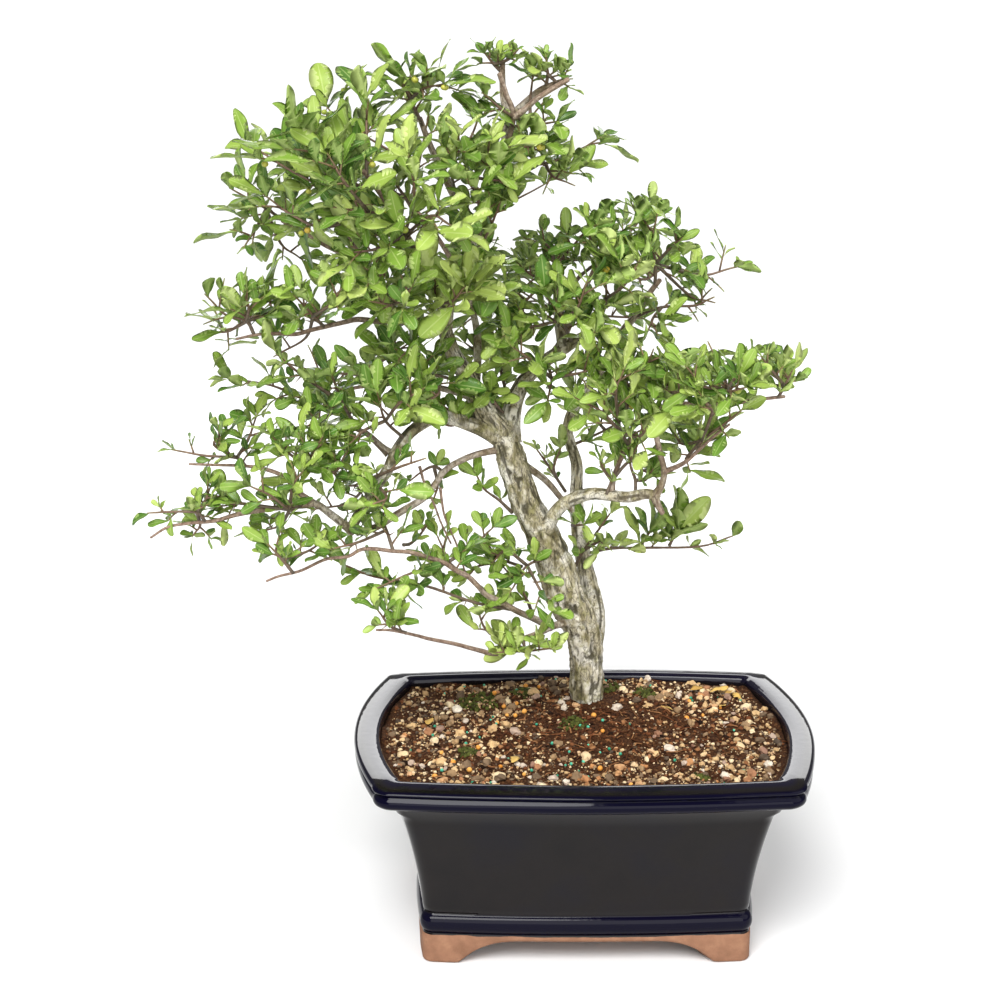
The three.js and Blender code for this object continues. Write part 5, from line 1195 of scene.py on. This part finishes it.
# small twigs that sprout from the wood inside the crown
innerTwigs = [
    newSpray(10, 2, 4, [(-43, 34, 247), (-51, 30, 256), (-60, 26, 264), (-64, 24, 272)]),
    newSpray(10, 2, 4, [(-37, 36, 212), (-46, 30, 217), (-53, 24, 222), (-57, 20, 230)],
             [(-63, 22, 217), (-69, 20, 212)]),
    newSpray(9, 2, 4, [(-31, 36, 183), (-34, 28, 193), (-40, 24, 205), (-48, 20, 216)]),
    newSpray(10, 2, 4, [(-9, 80, 248), (-15, 72, 259), (-22, 66, 271), (-27, 62, 279)],
             [(-17, 64, 268), (-13, 62, 280)]),
    newSpray(10, 2, 4, [(13, 10, 265), (16, 12, 273), (20, 14, 282), (22, 16, 290)],
             [(11, 8, 281), (9, 6, 286)], [(27, 16, 284), (34, 16, 279), (42, 14, 275)]),
    newSpray(11, 2, 4, [(-5, 68, 198), (2, 60, 215), (10, 54, 229), (17, 50, 241)],
             [(13, 50, 225), (11, 46, 221)]),
    newSpray(14, 4, 8, [(-46, 50, 316), (-50, 60, 330), (-53, 66, 344), (-56, 70, 358)],
             [(-44, 64, 344), (-36, 68, 352)], [(-60, 62, 338), (-70, 60, 346)]),
    newSpray(14, 3, 5, [(-46, 36, 306), (-52, 28, 315), (-56, 24, 323), (-54, 20, 330)],
             [(-60, 24, 318), (-64, 20, 322)]),
    newSpray(13, 3, 6, [(-64, 24, 302), (-74, 20, 308), (-80, 18, 314), (-86, 18, 319)],
             [(-80, 24, 304), (-88, 26, 306)]),
    newSpray(9, 2, 4, [(-84, 6, 280), (-90, 12, 282), (-97, 16, 278), (-104, 18, 272)],
             [(-88, 14, 270), (-90, 16, 262)]),
    newSpray(17, 1, 3, [(-6, 44, 236), (-4, 34, 239), (0, 28, 241)]),
    newSpray(11, 2, 4, [(30, 8, 265), (30, 10, 274), (27, 12, 284), (31, 13, 294)],
             [(36, 10, 274), (40, 10, 280)]),
    newSpray(19, 2, 3, [(56, 64, 217), (58, 62, 222), (61, 60, 228)]),
    newSpray(19, 2, 3, [(38, 66, 215), (40, 64, 220), (43, 62, 226)]),
    newSpray(11, 2, 4, [(-108, -4, 238), (-104, 6, 236), (-98, 14, 240), (-94, 16, 246)]),
    newSpray(14, 3, 6, [(-100, 26, 430), (-106, 28, 440), (-112, 30, 450), (-108, 30, 460)],
             [(-120, 26, 446), (-128, 24, 452)]),
]


def makeInnerTwigs(number, materials):
    shape = Shape()
    for spray in innerTwigs:
        number, _ = growSpray(shape, spray, number, 0.1)
    shape.make("innerTwigs", materials)


def twigMaterial():
    # young bark: grey-brown at the foot of a twig, yellow-brown then green towards its soft tip
    material, tree, shader, place = newMaterial("youngBark")
    fine = grain(tree, place, 1.8, 3.0)
    stops = [(0.0, "#6f6252"), (0.4, "#7a5f49"), (0.75, "#8f8050"), (1.0, "#93a053")]
    specks = ramp(tree, fine, [(0.3, "#5c554c"), (0.7, "#ffffff")])
    coat(tree, shader, blend(tree, 0.6, ramp(tree, named(tree, "tint"), stops), specks, "MULTIPLY"), 0.65)
    bump(tree, shader, fine, 0.3, 0.5)
    return material


def leafMaterial(name, upper):
    # a leathery evergreen blade: glossy above, paler and more matt below, with a pale midrib and margin; the
    # underside is paler partly by its own colour, partly as painted light shining through the blade
    material, tree, shader, place = newMaterial(name)
    along, out = named(tree, "leafAlong"), sums(tree, "ABSOLUTE", named(tree, "leafAcross"))
    if upper:
        stops = [(0.0, "#2d4a19"), (0.3, "#51772a"), (0.6, "#7b993b"), (0.84, "#99af52"), (1.0, "#b2c369")]
    else:
        # the underside's pale stops are its own paler colour plus painted light shining through the leaf
        stops = [(0.0, "#7d9850"), (0.5, "#9cb266"), (1.0, "#c3d085")]
    patch = ramp(tree, grain(tree, place, 8.0, 2.0), [(0.3, "#b9c49a"), (0.7, "#ffffff")])
    tone = blend(tree, 0.35, ramp(tree, named(tree, "tint"), stops), patch, "MULTIPLY")
    # side veins leave the midrib at a slant, as stripes of (along - a share of outwards)
    slant = times(tree, sums(tree, "SUBTRACT", along, times(tree, out, 0.28)), 52.0)
    veins = sums(tree, "MULTIPLY", sums(tree, "SUBTRACT", sums(tree, "SINE", slant), 0.72), 1.5, clamp=True)
    tone = blend(tree, times(tree, veins, 0.06), tone, linear("#9fb56a"))
    rib = sums(tree, "MULTIPLY", sums(tree, "SUBTRACT", 0.1, out), 12.0, clamp=True)
    tone = blend(tree, times(tree, rib, 0.42), tone, linear("#b9c880"))
    margin = sums(tree, "MULTIPLY", sums(tree, "SUBTRACT", out, 0.9), 9.0, clamp=True)
    tone = blend(tree, times(tree, margin, 0.36), tone, linear("#c3c67c"))
    coat(tree, shader, tone, 0.34 if upper else 0.6, 0.32 if upper else 0.2)
    bump(tree, shader, sums(tree, "ADD", times(tree, veins, -0.2), times(tree, rib, -1.0)), 0.2, 0.4)
    return material


def berryMaterial():
    material, tree, shader, place = newMaterial("unripeBerry")
    tone = ramp(tree, named(tree, "tint"), [(0.0, "#8ea23f"), (0.6, "#b7b34a"), (1.0, "#c9a23c")])
    coat(tree, shader, tone, 0.35)
    bump(tree, shader, grain(tree, place, 1.2), 0.1, 0.3)
    return material


def makeDryLeaves(materials):
    # a few fallen leaves, dry and curled, lying on the grit
    shape = Shape()
    x, y, length = np.array(soil["dryLeaves"], float).T
    number = np.arange(len(x))
    heading = draw(number, 5) * fullTurn
    base = np.stack([x, y, soilHeight(x, y) + 2.4], axis=1)
    along = unit(np.stack([np.cos(heading), np.sin(heading), 0.25 * (draw(number, 6) - 0.3)], axis=1))
    tilt = np.stack([draw(number, 7), draw(number, 8), draw(number, 9)], axis=1) - 0.5
    normal = np.array([0, 0, 1.0]) + 0.5 * tilt
    normal = unit(normal - along * (normal * along).sum(axis=1, keepdims=True))
    addLeaves(shape, base, along, normal, length, number + 900.0, draw(number, 11), 0)
    shape.make("fallenLeaves", materials)


# Everything is made and placed here

print("pot")
makePot([glazeMaterial()])
screens = screenMaterial()
for name in ("drain_screen_left", "drain_screen_right"):
    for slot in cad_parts[name].material_slots:
        slot.material = screens

print("soil")
stoneStops = [(0.0, "#4d4136"), (0.16, "#7d664e"), (0.32, "#a88861"), (0.48, "#d2b080"), (0.62, "#e6d2ac"),
              (0.74, "#b98252"), (0.86, "#8a6450"), (1.0, "#e2d6c4")]
peatStops = [(0.0, "#1d1009"), (0.4, "#432616"), (0.7, "#6b4027"), (1.0, "#9c6f49")]
makeSoil([soilMaterial()])
makeGrit([tintMaterial("crushedStone", stoneStops, 0.75, 2.6, 0.4)])
makePeat([tintMaterial("peatAndBark", peatStops, 0.9, 1.6, 0.3)])
makePellets([tintMaterial("resinCoatedFeed", [(0.0, "#1c8262"), (1.0, "#58bf9d")], 0.3, 1.0, 0.1, 0.2),
             tintMaterial("feedBalls", [(0.0, "#d98a2e"), (1.0, "#eab25e")], 0.5, 1.0, 0.2, 0.3)])
makeMoss([tintMaterial("moss", [(0.0, "#2f3216"), (1.0, "#575c2a")], 0.9, 1.2, 0.5)])

print("wood")
makeWood([barkMaterial()])

print("sprays")
leafMaterials = [twigMaterial(), leafMaterial("leatheryLeaf", True), leafMaterial("leafUndersidePaintedGlow", False)]
berrySkin = berryMaterial()
number = 0
for name, spray in sprays.items():
    number = makeSpray(name, spray, number, leafMaterials + [berrySkin])
makeInnerTwigs(number, leafMaterials)
dryLeaf = tintMaterial("dryLeaf", [(0.0, "#b98f45"), (1.0, "#d9b566")], 0.7, 3.0, 0.3)
makeDryLeaves([dryLeaf, dryLeaf])


# The studio: a pale floor, a white dome, soft suns and a panel, and the camera at the photograph's viewpoint

studio = {
    "tiltDown": 15.4, "yaw": 0.3, "lens": 75.6, "sensor": 36.0, "floor": "#e4e4e4", "floorSize": 160,
    "dome": 0.28,
    # the way towards each sun, its strength and its width in degrees
    "suns": [((-0.3, -0.85, 1.0), 3.8, 32.0), ((0.85, -0.45, 0.8), 1.1, 60.0),
             ((0.1, -1.0, 0.25), 1.6, 50.0)],
    # the panel behind the tree, facing forwards and down: its place, size, the way behind it and its watts
    "backPanel": ((0, 1700, 860), (1900, 420), (0, 1, 0.36), 12.0),
}


def addLight(name, kind, behind, energy):
    # a light that shines away from `behind`
    light = bpy.data.lights.new(name, kind)
    light.energy = energy
    lamp = bpy.data.objects.new(name, light)
    bpy.context.scene.collection.objects.link(lamp)
    lamp.rotation_euler = mathutils.Vector(behind).to_track_quat("Z", "Y").to_euler()
    return light, lamp


def makeStudio():
    p = studio
    bpy.ops.mesh.primitive_plane_add(size=p["floorSize"], location=(0, 0, float(cadBox[0][2]) - 0.2 * mm))
    floor = bpy.context.object
    floor.name = "studioFloor"
    material, tree, shader, _ = newMaterial("paleFloor")
    coat(tree, shader, linear(p["floor"]), 0.9)
    floor.data.materials.append(material)
    world = bpy.data.worlds.new("whiteDome")
    bpy.context.scene.world = world
    world.use_nodes = True
    background = world.node_tree.nodes["Background"]
    background.inputs["Color"].default_value = (1, 1, 1, 1)
    background.inputs["Strength"].default_value = p["dome"]
    for index, (towards, strength, width) in enumerate(p["suns"]):
        light, _ = addLight(f"softSun{index}", "SUN", towards, strength)
        light.angle = math.radians(width)
    place, size, behind, watts = p["backPanel"]
    light, panel = addLight("backPanel", "AREA", behind, watts)
    light.shape, light.size, light.size_y = "RECTANGLE", size[0] * mm, size[1] * mm
    panel.location = np.array(place) * mm + potMiddle
    camera = bpy.data.objects.new("camera", bpy.data.cameras.new("camera"))
    bpy.context.scene.collection.objects.link(camera)
    camera.data.lens, camera.data.sensor_width = p["lens"], p["sensor"]
    camera.location = photoEye * mm + potMiddle
    camera.rotation_euler = math.radians(90 - p["tiltDown"]), 0, math.radians(-p["yaw"])
    bpy.context.scene.camera = camera
    bpy.context.scene.view_settings.view_transform = "Standard"


print("studio")
makeStudio()
